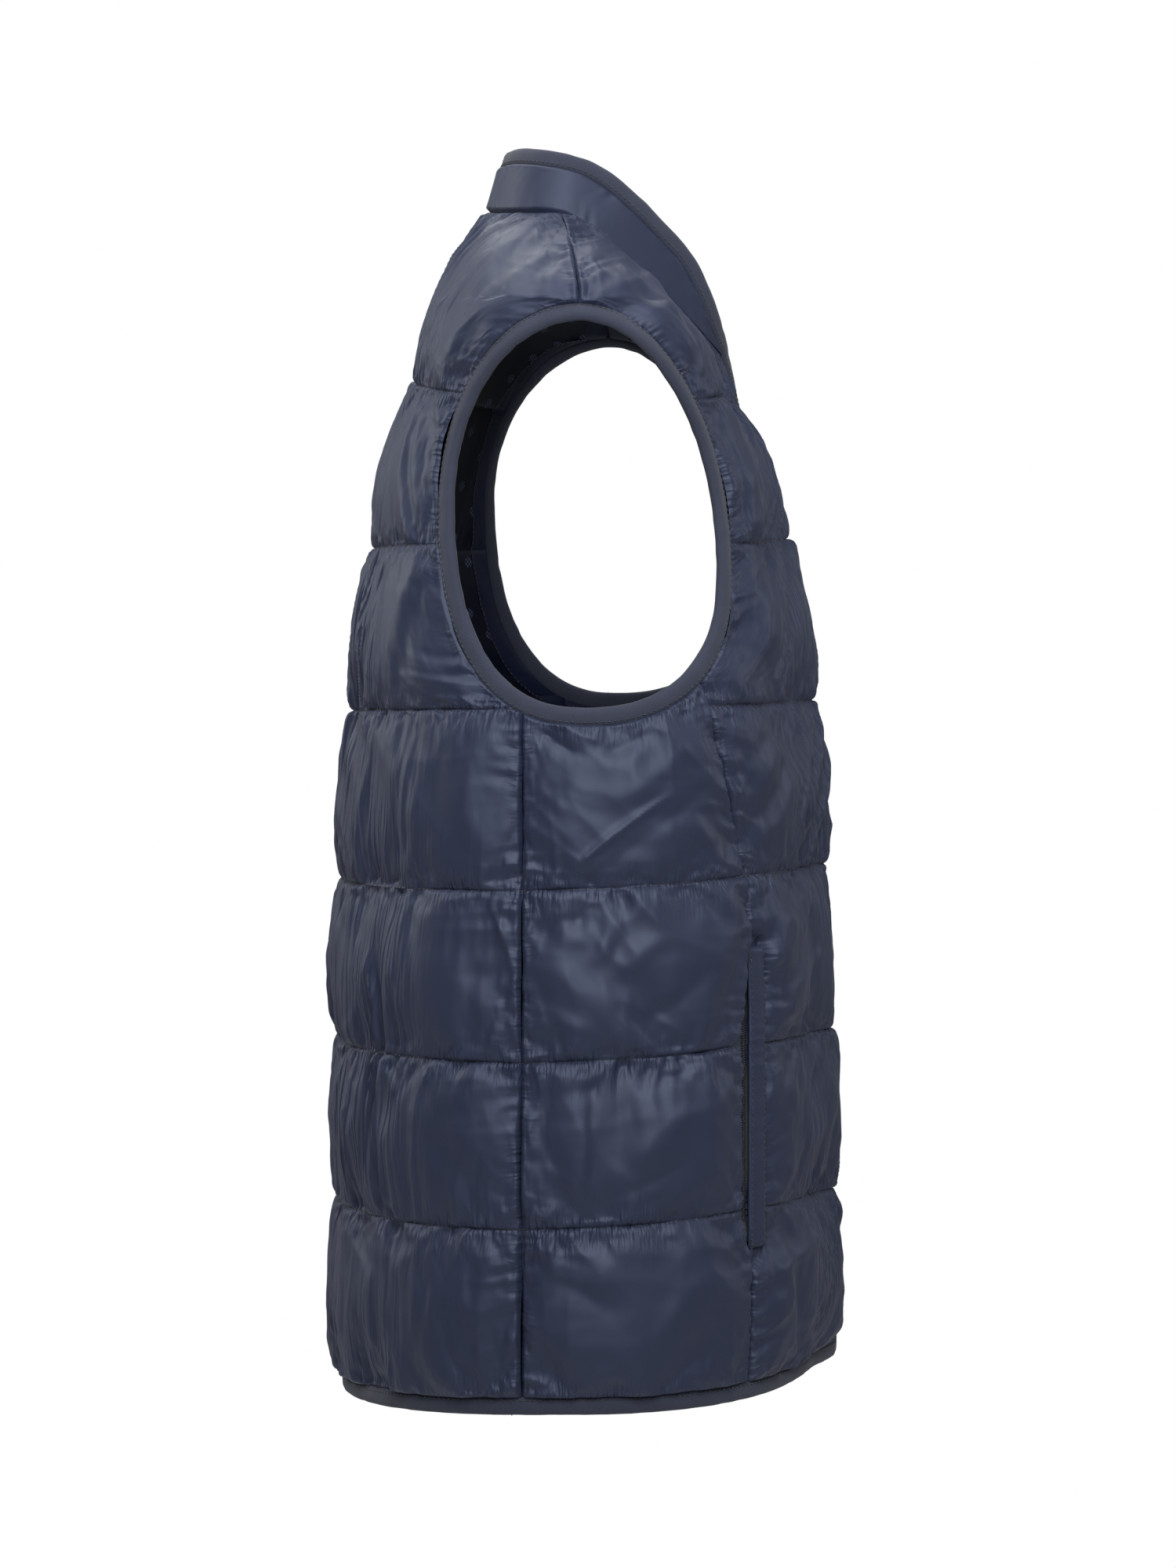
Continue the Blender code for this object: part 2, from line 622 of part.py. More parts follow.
def armhole_binding(name, back, front, side, left):
    rows_up = arm_rows(BACK_SIDE, BACK_LINES, CENTRE_BACK)
    rows_down = arm_rows(FRONT_SIDE, FRONT_LINES, FRONT_EDGE)[::-1]
    last = side[0].shape[0] - 1
    across = np.arange(side[0].shape[1])
    pieces = [
        edge_points(back[0], back[1], rows_up, 0, rows_up, 1),
        edge_points(front[0], front[1], rows_down, 0, rows_down, 1),
        edge_points(side[0], side[1], last, across, last - 1, across),
    ]
    path = [np.concatenate(values) for values in zip(*pieces)]
    path = spaced(path, 0.003)
    if left:
        path = [mirrored(values) for values in path]
    tube(name, "binding", edge_frame(*path))


def edge_binding_half(back, front, side, collar_theta, lapped):
    """One half of the edge binding's path, from the centre back of the hem to that of the collar."""
    back_columns = np.arange(back[0].shape[1])[::-1]
    side_columns = np.arange(side[0].shape[1])[::-1]
    front_columns = np.arange(front[0].shape[1])
    front_inner = np.minimum(front_columns, len(front_columns) - 2)
    front_rows = np.arange(1, front[0].shape[0])
    pieces = [
        edge_points(back[0], back[1], 0, back_columns, 1, back_columns),
        edge_points(side[0], side[1], 0, side_columns, 1, side_columns),
        edge_points(front[0], front[1], 0, front_columns, 2, front_inner, lapped),
        edge_points(front[0], front[1], front_rows, -1, front_rows, -2, lapped),
    ]
    collar, normals = collar_half(collar_theta, (0.0, 0.0), lapped)
    pieces.append((collar[-1], normals[-1], collar[-2]))
    return [np.concatenate(values) for values in zip(*pieces)]


def edge_binding(back, front, side, collar_theta):
    right = edge_binding_half(back, front, side, collar_theta, True)
    left = edge_binding_half(back, front, side, collar_theta, False)
    path = [np.concatenate([mirrored(two), one[::-1]]) for one, two in zip(right, left)]
    tube("binding_edge", "binding", edge_frame(*spaced(path, 0.0015)))


def stud(name, z):
    heights = body_point(0.0, np.linspace(0.0, TOP, 400))[:, 2]
    t = np.interp(z, heights, np.linspace(0.0, TOP, 400))
    theta = np.arcsin(0.005 / 0.125)
    low = STITCHED + SEAM_GAP + 0.0002
    foot, head = (cloth(theta, t, low + step, True) for step in (0.0, STUD_THICKNESS))
    bm = bmesh.new()
    cone = bmesh.ops.create_cone(
        bm, cap_ends=True, segments=16, radius1=STUD_RADIUS, radius2=STUD_RADIUS * 0.8, depth=STUD_THICKNESS
    )
    axis = Vector(head - foot).normalized()
    turn = Vector((0, 0, 1)).rotation_difference(axis).to_matrix().to_4x4()
    place = Matrix.Translation(Vector((foot + head) / 2)) @ turn
    bmesh.ops.transform(bm, matrix=place, verts=cone["verts"])
    mesh_object(name, "stud", bm)


def build():
    back = back_grid()
    front = front_grid()
    side = side_grid()
    panel("back", back, (0, 3, 5, 7, 9, 11), across=True)
    panel("front_right", front, (0, 3, 5, 7, 9, 11), lapped=True)
    panel("front_left", front, (0, 3, 5, 7, 9, 11), left=True)
    panel("side_right", side, (0, 3, 6, 9))
    panel("side_left", side, (0, 3, 6, 9), left=True)
    theta = collar_columns(front[0], back[0])
    faces = []
    for edges in ((0.0, 0.0), (COLLAR_EDGE, COLLAR_MIDDLE)):
        right = collar_half(theta, edges, True)[0]
        left = mirrored(collar_half(theta, edges, False)[0])[:, ::-1]
        faces.append(np.concatenate([right, left[:, 1:]], axis=1))
    wall("collar", "shell", *faces)
    armhole_binding("binding_armhole_right", back, front, side, False)
    armhole_binding("binding_armhole_left", back, front, side, True)
    edge_binding(back, front, side, theta)
    pocket("right", False)
    pocket("left", True)
    for number, z in enumerate(STUD_HEIGHTS, 1):
        stud("stud_" + str(number), z)


for old in list(bpy.data.objects):
    bpy.data.objects.remove(old)
VEST = bpy.data.collections.new("quilted_vest")
bpy.context.scene.collection.children.link(VEST)
MATERIALS = {name: material_of(name, colour) for name, colour in COLOURS.items()}
build()
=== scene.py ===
"""Quilted vest: padded panels, lining, bindings, pockets, press studs and stitching, on the CAD frame."""

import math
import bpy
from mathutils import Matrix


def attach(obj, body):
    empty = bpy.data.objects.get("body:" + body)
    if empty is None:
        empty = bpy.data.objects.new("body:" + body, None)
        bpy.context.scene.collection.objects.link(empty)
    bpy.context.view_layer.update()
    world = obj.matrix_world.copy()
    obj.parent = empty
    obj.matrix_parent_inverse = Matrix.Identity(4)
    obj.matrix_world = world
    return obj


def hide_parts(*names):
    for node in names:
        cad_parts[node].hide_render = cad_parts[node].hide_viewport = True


bl_info = {
    "name": "Quilted Vest",
    "version": (1, 0, 0),
    "blender": (4, 5, 0),
    "location": "3D View > Sidebar > Vest",
    "description": "Dresses the vest's frame with quilted panels, lining, bindings, pockets and stitching",
    "category": "Object",
}

import bmesh
import bpy
import numpy as np
from mathutils import Matrix, Vector

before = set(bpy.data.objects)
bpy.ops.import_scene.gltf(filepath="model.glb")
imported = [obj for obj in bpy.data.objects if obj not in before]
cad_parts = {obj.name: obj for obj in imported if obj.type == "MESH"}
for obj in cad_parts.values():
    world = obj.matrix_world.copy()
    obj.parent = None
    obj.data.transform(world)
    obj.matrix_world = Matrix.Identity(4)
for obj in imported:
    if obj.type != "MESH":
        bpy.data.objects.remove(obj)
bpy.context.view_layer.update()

# The surface that the cloth lies on, as in the part: rings from the hem to the neck.
# Columns: half width, y at the side, back and front, z at the side, back and front,
# plan power, height power.
BODY_RINGS = np.array(
    [
        (0.196, -0.004, 0.132, -0.1275, -0.594, -0.603, -0.586, 2.4, 1.4),
        (0.196, -0.004, 0.131, -0.1245, -0.497, -0.500, -0.494, 2.4, 1.4),
        (0.193, -0.004, 0.1315, -0.123, -0.392, -0.395, -0.390, 2.4, 1.4),
        (0.189, -0.004, 0.128, -0.118, -0.302, -0.305, -0.300, 2.4, 1.4),
        (0.184, -0.005, 0.1215, -0.1115, -0.220, -0.220, -0.220, 2.4, 1.4),
        (0.177, -0.005, 0.1065, -0.097, -0.124, -0.122, -0.138, 2.4, 1.4),
        (0.168, -0.005, 0.078, -0.0765, -0.033, -0.018, -0.086, 2.2, 1.4),
        (0.078, 0.0105, 0.0525, -0.068, 0.030, 0.036, -0.047, 2.0, 1.4),
    ]
)
COLLAR_TOP = (0.068, 0.004, 0.0455, -0.0755, 0.0548, 0.060, -0.027, 2.0, 1.9)
COLLAR_SLOPE = 0.018
TOP = len(BODY_RINGS) - 1
FORWARD = np.array([0.0, -1.0, 0.0])

# Quilting lines from the hem up. Columns: z at the piece's centre edge, z at its side edge.
BACK_LINES = (
    (-0.504, -0.506),
    (-0.415, -0.419),
    (-0.330, -0.329),
    (-0.240, -0.234),
    (-0.151, -0.148),
    (-0.056, -0.068),
)
FRONT_LINES = (
    (-0.503, -0.499),
    (-0.414, -0.412),
    (-0.323, -0.323),
    (-0.233, -0.233),
    (-0.142, -0.148),
    (-0.066, -0.072),
)
# Columns: z at the front seam, z at the back seam.
SIDE_LINES = ((-0.499, -0.506), (-0.412, -0.419), (-0.323, -0.329))

# Armhole opening in side view. Columns: y, z.
ARM_TOP = (-0.004, -0.032)
ARM_BACK = (0.0605, -0.1255)
ARM_BOTTOM = (-0.008, -0.233)
ARM_FRONT = (-0.072, -0.168)
ARM_POWERS = {"top_back": 2.0, "bottom_back": 2.4, "bottom_front": 2.4, "top_front": 2.0}

BACK_SEAM_Y = 0.024
# Front side seam. Columns: z, y.
FRONT_SEAM = ((-0.603, -0.0905), (-0.393, -0.0905), (-0.323, -0.088), (-0.218, -0.0655))

BINDING_WIDTH = 0.009
CORNER_RADIUS = 0.032
LAP_PAST_CENTRE = 0.004
LAP_RISE = 0.0084
LAP_FLAT = 0.024
LAP_BLEND = 0.075
PLACKET = 0.022
V_START = 6.15
COLLAR_END = np.radians(16)
COLLAR_FULL = np.radians(46)
COLLAR_END_SHARE = 0.08
POCKET_TOP = -0.359
POCKET_BOTTOM = -0.521
POCKET_GAP = 0.0062
WELT_WIDTH = 0.0124
ARMHOLE_BAND = 0.014
STUD_HEIGHTS = (-0.187, -0.278, -0.368, -0.458, -0.548)


def smooth(share):
    share = np.clip(share, 0.0, 1.0)
    return share * share * (3.0 - 2.0 * share)


def unit(vectors):
    return vectors / np.linalg.norm(vectors, axis=-1, keepdims=True)


def ring_point(ring, theta):
    half, y_side, y_back, y_front, z_side, z_back, z_front, plan, height = ring
    across = np.sin(theta)
    along = np.cos(theta)
    ahead = along > 0
    depth = np.where(ahead, y_side - y_front, y_back - y_side)
    reach = (np.abs(across / half) ** plan + np.abs(along / depth) ** plan) ** (-1.0 / plan)
    z_end = np.where(ahead, z_front, z_back)
    z = z_side + (z_end - z_side) * np.abs(along) ** height
    return np.stack([-reach * across, y_side - reach * along, z], axis=-1)


def body_point(theta, t):
    theta, t = np.broadcast_arrays(np.asarray(theta, float), np.asarray(t, float))
    low = np.clip(np.floor(t).astype(int), 0, TOP - 1)
    part = (t - low)[..., None]
    rings = np.stack([ring_point(ring, theta) for ring in BODY_RINGS])

    def ring_at(step):
        index = np.clip(low + step, 0, TOP)[None, ..., None]
        return np.take_along_axis(rings, index, axis=0)[0]

    before, start, end, after = (ring_at(step) for step in (-1, 0, 1, 2))
    rise = 3 * part**2 - 2 * part**3
    leave = part * (1 - part) ** 2
    arrive = part**2 * (part - 1)
    return start * (1 - rise) + end * rise + leave * (end - before) / 2 + arrive * (after - start) / 2


def collar_top(theta):
    """The collar's top edge, which falls in one even curve from the back, past the side, to the V."""
    edge = ring_point(COLLAR_TOP, theta)
    z_side, z_back, z_front = COLLAR_TOP[4:7]
    front = np.clip(np.cos(theta), 0.0, 1.0)
    back = np.clip(-np.cos(theta), 0.0, 1.0)
    rounded = (z_side + COLLAR_SLOPE - z_back) * back**2
    fallen = (z_side - COLLAR_SLOPE - z_front) * front ** COLLAR_TOP[8]
    edge[..., 2] = z_side + COLLAR_SLOPE * (back - front) - rounded - fallen
    return edge


def collar_point(theta, u):
    theta, u = np.broadcast_arrays(np.asarray(theta, float), np.asarray(u, float))
    grown = smooth((theta - COLLAR_END) / (COLLAR_FULL - COLLAR_END))
    share = COLLAR_END_SHARE + (1 - COLLAR_END_SHARE) * grown
    low = ring_point(BODY_RINGS[TOP], theta)
    return low + (collar_top(theta) - low) * (u * share)[..., None]


def normal_of(point, theta, t, last):
    step = 1e-4
    turn = point(theta + step, t) - point(theta - step, t)
    climb = point(theta, np.minimum(t + step, last)) - point(theta, np.maximum(t - step, 0.0))
    return unit(np.cross(climb, turn))


def body_normal(theta, t):
    """The surface's normal, turned halfway to the collar's at the neck, so that both meet in a mitre."""
    theta, t = np.broadcast_arrays(np.asarray(theta, float), np.asarray(t, float))
    at_neck = np.clip((t - TOP + 0.06) / 0.04, 0.0, 1.0)[..., None]
    return unit(normal_of(body_point, theta, t, TOP) * (1 - at_neck) + neck_normal(theta) * at_neck)


def neck_normal(theta):
    below = normal_of(body_point, theta, np.full_like(theta, TOP), TOP)
    return unit(below + normal_of(collar_point, theta, np.zeros_like(theta), 1.0))


def lap_rise(points):
    """How far the right front stands off the shared surface, so that it lies on the left front."""
    near_centre = 1 - smooth((-points[..., 0] - LAP_FLAT) / (LAP_BLEND - LAP_FLAT))
    ahead = smooth((0.02 - points[..., 1]) / 0.05)
    return LAP_RISE * near_centre * ahead


def theta_at(y, t):
    """The angle on the right side at which the ring at t passes through y."""
    angles = np.radians(np.linspace(15, 165, 301))
    rings = [body_point(angles, one)[:, 1] for one in t]
    return np.array([np.interp(here, ring, angles) for here, ring in zip(y, rings)])


def armhole_outline(angle, grow):
    """Points y, z of the armhole: top at 0, back at 90, bottom at 180 and front at 270 degrees."""
    sine = np.abs(np.sin(angle))
    cosine = np.abs(np.cos(angle))
    behind = np.sin(angle) >= 0
    above = np.cos(angle) >= 0
    power_above = np.where(behind, ARM_POWERS["top_back"], ARM_POWERS["top_front"])
    power_below = np.where(behind, ARM_POWERS["bottom_back"], ARM_POWERS["bottom_front"])
    power = np.where(above, power_above, power_below)
    y_end = np.where(above, ARM_TOP[0], ARM_BOTTOM[0])
    z_end = np.where(above, ARM_TOP[1] + grow, ARM_BOTTOM[1] - grow)
    y_side = np.where(behind, ARM_BACK[0] + grow, ARM_FRONT[0] - grow)
    z_side = np.where(behind, ARM_BACK[1], ARM_FRONT[1])
    y = y_end + (y_side - y_end) * sine ** (2 / power)
    z = z_side + (z_end - z_side) * cosine ** (2 / power)
    return y, z


def on_side(y, z):
    """Theta and t of the right side's points at y, z, by Newton's steps."""
    theta = np.full_like(y, np.pi / 2)
    t = np.full_like(y, 5.0)
    step = 1e-5
    for _ in range(60):
        here = body_point(theta, t)
        by_theta = (body_point(theta + step, t) - here) / step
        by_t = (body_point(theta, t + step) - here) / step
        miss_y = y - here[:, 1]
        miss_z = z - here[:, 2]
        scale = by_theta[:, 1] * by_t[:, 2] - by_theta[:, 2] * by_t[:, 1]
        move_theta = (miss_y * by_t[:, 2] - miss_z * by_t[:, 1]) / scale
        move_t = (miss_z * by_theta[:, 1] - miss_y * by_theta[:, 2]) / scale
        theta = np.clip(theta + np.clip(move_theta, -0.2, 0.2), 0.3, 2.9)
        t = np.clip(t + np.clip(move_t, -0.4, 0.4), 0.0, TOP - 0.05)
    return theta, t


class Line:
    """A line on the body surface, measured along its length."""

    def __init__(self, theta, t, corners=()):
        points = body_point(theta, t)
        steps = np.linalg.norm(np.diff(points, axis=0), axis=1)
        self.theta = theta
        self.t = t
        self.z = points[:, 2]
        self.length = np.concatenate([[0.0], np.cumsum(steps)])
        self.corners = [self.length[index] for index in corners]

    def at_height(self, z):
        return np.interp(z, self.z, self.length)

    def at(self, length):
        return np.interp(length, self.length, self.theta), np.interp(length, self.length, self.t)


ARM_THETA, ARM_T = on_side(*armhole_outline(np.radians(np.linspace(0, 360, 361)), BINDING_WIDTH))
ARM_POINTS = body_point(ARM_THETA, ARM_T)


def armhole_corner(y, back):
    """Index of the armhole point, below its middle, where the seam at y meets it."""
    indices = range(90, 181) if back else range(180, 271)
    return min(indices, key=lambda index: abs(ARM_POINTS[index, 1] - y))


BACK_CORNER = armhole_corner(BACK_SEAM_Y, True)
FRONT_CORNER = armhole_corner(FRONT_SEAM[-1][1], False)


def front_seam_y(z):
    table = np.array(FRONT_SEAM)
    return np.interp(z, table[:, 0], table[:, 1])


def seam_line(corner, y_at):
    """A side seam from the hem up to its corner at the armhole."""
    t = np.linspace(0.0, ARM_T[corner], 120)
    theta = theta_at(np.full_like(t, ARM_POINTS[corner, 1]), t)
    for _ in range(4):
        theta = theta_at(y_at(body_point(theta, t)[:, 2]), t)
    theta[-1] = ARM_THETA[corner]
    return theta, t


def with_shoulder(seam, arm):
    """A panel's outer side: seam, armhole edge, then the shoulder seam up to the neck."""
    share = np.linspace(0.0, 1.0, 40)[1:]
    theta = ARM_THETA[0] + (np.pi / 2 - ARM_THETA[0]) * share
    t = ARM_T[0] + (TOP - ARM_T[0]) * share
    return Line(
        np.concatenate([seam[0][:-1], ARM_THETA[arm], theta]),
        np.concatenate([seam[1][:-1], ARM_T[arm], t]),
        (len(seam[0]) - 1, len(seam[0]) + len(arm) - 2),
    )


def front_edge_line():
    """The front panel's free edge: rounded hem corner, straight front, then the V to the collar's end."""
    depth = -body_point(0.0, 0.0)[1]
    lap = -LAP_PAST_CENTRE / depth
    climb = np.linspace(0.0, 1.0, 200)
    heights = body_point(0.0, climb)[:, 2] - body_point(0.0, 0.0)[2]
    turn = np.radians(np.linspace(0, 90, 25))
    corner_theta = lap + CORNER_RADIUS * (1 - np.sin(turn)) / depth
    corner_t = np.interp(CORNER_RADIUS * (1 - np.cos(turn)), heights, climb)
    t = np.linspace(corner_t[-1], TOP, 240)[1:]
    theta = lap + (COLLAR_END - lap) * smooth((t - V_START) / (TOP - V_START))
    return Line(np.concatenate([corner_theta, theta]), np.concatenate([corner_t, t]))


CENTRE_BACK = Line(np.full(300, np.pi), np.linspace(0.0, TOP, 300))
BACK_SEAM = seam_line(BACK_CORNER, lambda z: np.full_like(z, BACK_SEAM_Y))
FRONT_SIDE_SEAM = seam_line(FRONT_CORNER, front_seam_y)
BACK_SIDE = with_shoulder(BACK_SEAM, np.arange(BACK_CORNER, -1, -1))
FRONT_SIDE = with_shoulder(FRONT_SIDE_SEAM, np.arange(FRONT_CORNER, 361))
FRONT_EDGE = front_edge_line()

# How finely the cloth is modelled.
ROW_STEP = 0.0014
BACK_COLUMNS = 199
FRONT_COLUMNS = 181
SIDE_COLUMNS = 115


def noise(x, y, seed):
    """Smooth noise between -1 and 1 that changes about once in each unit of x and y."""
    table = np.random.default_rng(seed).uniform(-1.0, 1.0, (256, 256))
    x, y = np.broadcast_arrays(x, y)
    column = np.floor(x).astype(int)
    row = np.floor(y).astype(int)
    across = smooth(x - column)
    up = smooth(y - row)
    left, right = column % 256, (column + 1) % 256
    below, above = row % 256, (row + 1) % 256
    low = table[left, below] * (1 - across) + table[right, below] * across
    high = table[left, above] * (1 - across) + table[right, above] * across
    return low * (1 - up) + high * up


def ridges(x, y, seed):
    """Crisp crests between soft hollows."""
    return 0.7 - 2.0 * np.abs(noise(x, y, seed))


def rise(distance, reach, power=2.2):
    """A rounded climb from 0 at the edge to 1 at the reach."""
    share = np.clip(distance / reach, 0.0, 1.0)
    return (1 - (1 - share) ** power) ** (1 / power)


def rows_between(inner, outer, lines):
    """Row ends on both sides of a panel, its stitched rows, and its armhole's first and last row."""
    inner_stops = [0.0, *(inner.at_height(line[0]) for line in lines), inner.length[-1]]
    outer_stops = [0.0, *(outer.at_height(line[1]) for line in lines), outer.length[-1]]
    inner_rows, outer_rows, stitched = [], [], [0]
    for cell in range(len(lines) + 1):
        inner_step = inner_stops[cell + 1] - inner_stops[cell]
        outer_step = outer_stops[cell + 1] - outer_stops[cell]
        count = 4 * math.ceil(max(inner_step, outer_step) / ROW_STEP / 4)
        share = np.arange(count + (cell == len(lines))) / count
        share = share - 0.45 * np.sin(2 * np.pi * share) / (2 * np.pi)
        inner_rows.extend(inner_stops[cell] + inner_step * share)
        outer_rows.extend(outer_stops[cell] + outer_step * share)
        stitched.append(stitched[-1] + count)
    outer_rows = np.array(outer_rows)
    corners = [np.argmin(np.abs(outer_rows - corner)) for corner in outer.corners]
    outer_rows[corners] = outer.corners
    return inner.at(np.array(inner_rows)), outer.at(outer_rows), stitched, corners


def across_rows(start, end, part):
    theta = start[0][:, None] + (end[0] - start[0])[:, None] * part
    t = start[1][:, None] + (end[1] - start[1])[:, None] * part
    return theta, np.clip(t, 0.0, TOP)


def crowded(count, both):
    """Shares from 0 to 1 that stand closer at the start, or at both ends."""
    part = np.linspace(0.0, 1.0, count)
    if both:
        return part - 0.55 * np.sin(2 * np.pi * part) / (2 * np.pi)
    return part - 0.4 * np.sin(np.pi * part) / np.pi


def back_rows():
    centre, side, *marks = rows_between(CENTRE_BACK, BACK_SIDE, BACK_LINES)
    return *across_rows(side, centre, crowded(BACK_COLUMNS, False)), *marks


def front_rows():
    edge, side, *marks = rows_between(FRONT_EDGE, FRONT_SIDE, FRONT_LINES)
    return *across_rows(side, edge, crowded(FRONT_COLUMNS, True)), *marks


def pocket_gap(z):
    """How far the side panel's edge stands back from the front's along the pocket."""
    share = np.clip((z - POCKET_BOTTOM) / (POCKET_TOP - POCKET_BOTTOM), 0.0, 1.0)
    return POCKET_GAP * np.sqrt(np.sin(np.pi * share))


def side_rows():
    front_ends, back_ends, *marks = rows_between(Line(*FRONT_SIDE_SEAM), Line(*BACK_SEAM), SIDE_LINES)
    theta, t = across_rows(front_ends, back_ends, crowded(SIDE_COLUMNS, True))
    bottom = np.arange(FRONT_CORNER, BACK_CORNER - 1, -1)
    arm_t = np.interp(theta[-1], ARM_THETA[bottom], ARM_T[bottom])
    start = marks[0][-2]
    climb = (t[start:, :1] - t[start, 0]) / (t[-1, 0] - t[start, 0])
    t[start:] += (arm_t - t[-1]) * climb**2
    share = (theta - theta[:, :1]) / (theta[:, -1:] - theta[:, :1])
    gap = pocket_gap(body_point(theta[:, 0], t[:, 0])[:, 2])
    width = np.linalg.norm(body_point(*front_ends) - body_point(*back_ends), axis=1)
    theta += (theta[:, -1:] - theta[:, :1]) / width[:, None] * gap[:, None] * (1 - share)
    return theta, t, *marks


def mirrored(points):
    return points * np.array([-1.0, 1.0, 1.0])


class Panel:
    """A quilted panel's points on the shared surface: rows from the hem up, columns from its outer side."""

    def __init__(self, name, rows, lapped=False, left=False, across=False):
        theta, t, self.stitched, self.arm_rows = rows
        points = body_point(theta, t)
        if lapped:
            points = points + FORWARD * lap_rise(points)[..., None]
        normal = body_normal(theta, t)
        if across:
            points = np.concatenate([points, mirrored(points)[:, -2::-1]], axis=1)
            normal = np.concatenate([normal, mirrored(normal)[:, -2::-1]], axis=1)
        if left:
            points = mirrored(points)
            normal = mirrored(normal)
        self.name = name
        self.points = points
        self.normal = normal
        nought = np.zeros_like(points[..., 0])
        self.up = nought.copy()
        self.up[1:] = np.cumsum(np.linalg.norm(np.diff(points, axis=0), axis=2), axis=0)
        self.run = nought.copy()
        self.run[:, 1:] = np.cumsum(np.linalg.norm(np.diff(points, axis=1), axis=2), axis=1)
        self.start = self.run
        self.end = self.run[:, -1:] - self.run
        self.low = nought.copy()
        self.high = nought.copy()
        for bottom, top in zip(self.stitched, self.stitched[1:]):
            cell = slice(bottom, top + 1)
            self.low[cell] = self.up[cell] - self.up[bottom]
            self.high[cell] = self.up[top] - self.up[cell]
        self.middle = self.run[:, -1:] / 2 if across else self.run[:, -1:]
        self.along = self.run - self.middle


def blurred(grid, axis, radius):
    """The grid's values, softened along one axis by a radius in points."""
    reach = int(3 * radius)
    weights = np.exp(-0.5 * (np.arange(-reach, reach + 1) / radius) ** 2)
    weights /= weights.sum()
    room = [(0, 0)] * grid.ndim
    room[axis] = (reach, reach)
    padded = np.pad(grid, room, mode="reflect")
    count = grid.shape[axis]
    return sum(w * np.take(padded, np.arange(k, k + count), axis=axis) for k, w in enumerate(weights))


def finer(grid, shape):
    """Values known at every fourth row and third column, filled in between."""
    full = np.empty(shape + grid.shape[2:])
    full[::4, ::3] = grid
    for step in (1, 2, 3):
        full[step::4, ::3] = grid[:-1] + (grid[1:] - grid[:-1]) * (step / 4)
    left = full[:, :-1:3]
    right = full[:, 3::3]
    for step in (1, 2):
        full[:, step::3] = left + (right - left) * (step / 3)
    return blurred(blurred(full, 0, 1.5), 1, 1.2)


def sheet_mesh(name, points, outward, uv):
    """A smooth sheet through a grid of points, facing outward, with a UV map in metres."""
    rows, columns = points.shape[:2]
    bm = bmesh.new()
    bmesh.ops.create_grid(bm, x_segments=columns - 1, y_segments=rows - 1, size=1.0)
    mesh = bpy.data.meshes.new(name)
    bm.to_mesh(mesh)
    bm.free()
    mesh.vertices.foreach_set("co", points.reshape(-1))
    corners = np.empty(len(mesh.loops), np.int32)
    mesh.loops.foreach_get("vertex_index", corners)
    layer = mesh.uv_layers.new(name="UVMap")
    layer.uv.foreach_set("vector", uv.reshape(-1, 2)[corners].reshape(-1))
    mesh.update()
    facing = np.empty(len(mesh.polygons) * 3)
    mesh.polygons.foreach_get("normal", facing)
    wanted = outward[:-1, :-1].reshape(-1, 3)
    if np.sum(facing.reshape(-1, 3) * wanted) < 0:
        mesh.flip_normals()
    mesh.shade_smooth()
    return mesh


def mark(mesh, name, values):
    """Keeps a value for each of a sheet's points, for its finish."""
    kept = mesh.attributes.new(name, "FLOAT", "POINT")
    kept.data.foreach_set("value", values.reshape(-1))


def dress(mesh, material, nodes):
    """Puts a piece into the scene, with its finish, in place of its CAD nodes."""
    mesh.materials.append(material)
    piece = bpy.data.objects.new(mesh.name, mesh)
    bpy.context.scene.collection.objects.link(piece)
    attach(piece, "root")
    if nodes:
        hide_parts(*nodes)
    return piece


def held_down(away, floor, quick, quick_reach, slow_reach):
    """Share of the full puff at a distance from an edge: a floor, a quick climb, then a slow one."""
    slow = 1 - np.clip(1 - away / slow_reach, 0.0, 1.0) ** 2
    return floor + (1 - floor) * (quick * rise(away, quick_reach) + (1 - quick) * slow)


def by_pocket(panel, margin, blend):
    """1 on the rows beside a pocket, fading to 0 past its ends."""
    z = panel.points[:, :1, 2]
    return smooth((z - POCKET_BOTTOM + margin) / blend) * smooth((POCKET_TOP + margin - z) / blend)


def from_seam(panel):
    """Distance from a panel's outer seam, or from the welt where it has one."""
    if panel.name.startswith("front"):
        return np.maximum(panel.start - WELT_WIDTH * by_pocket(panel, 0.012, 0.012), 0.0)
    return panel.start


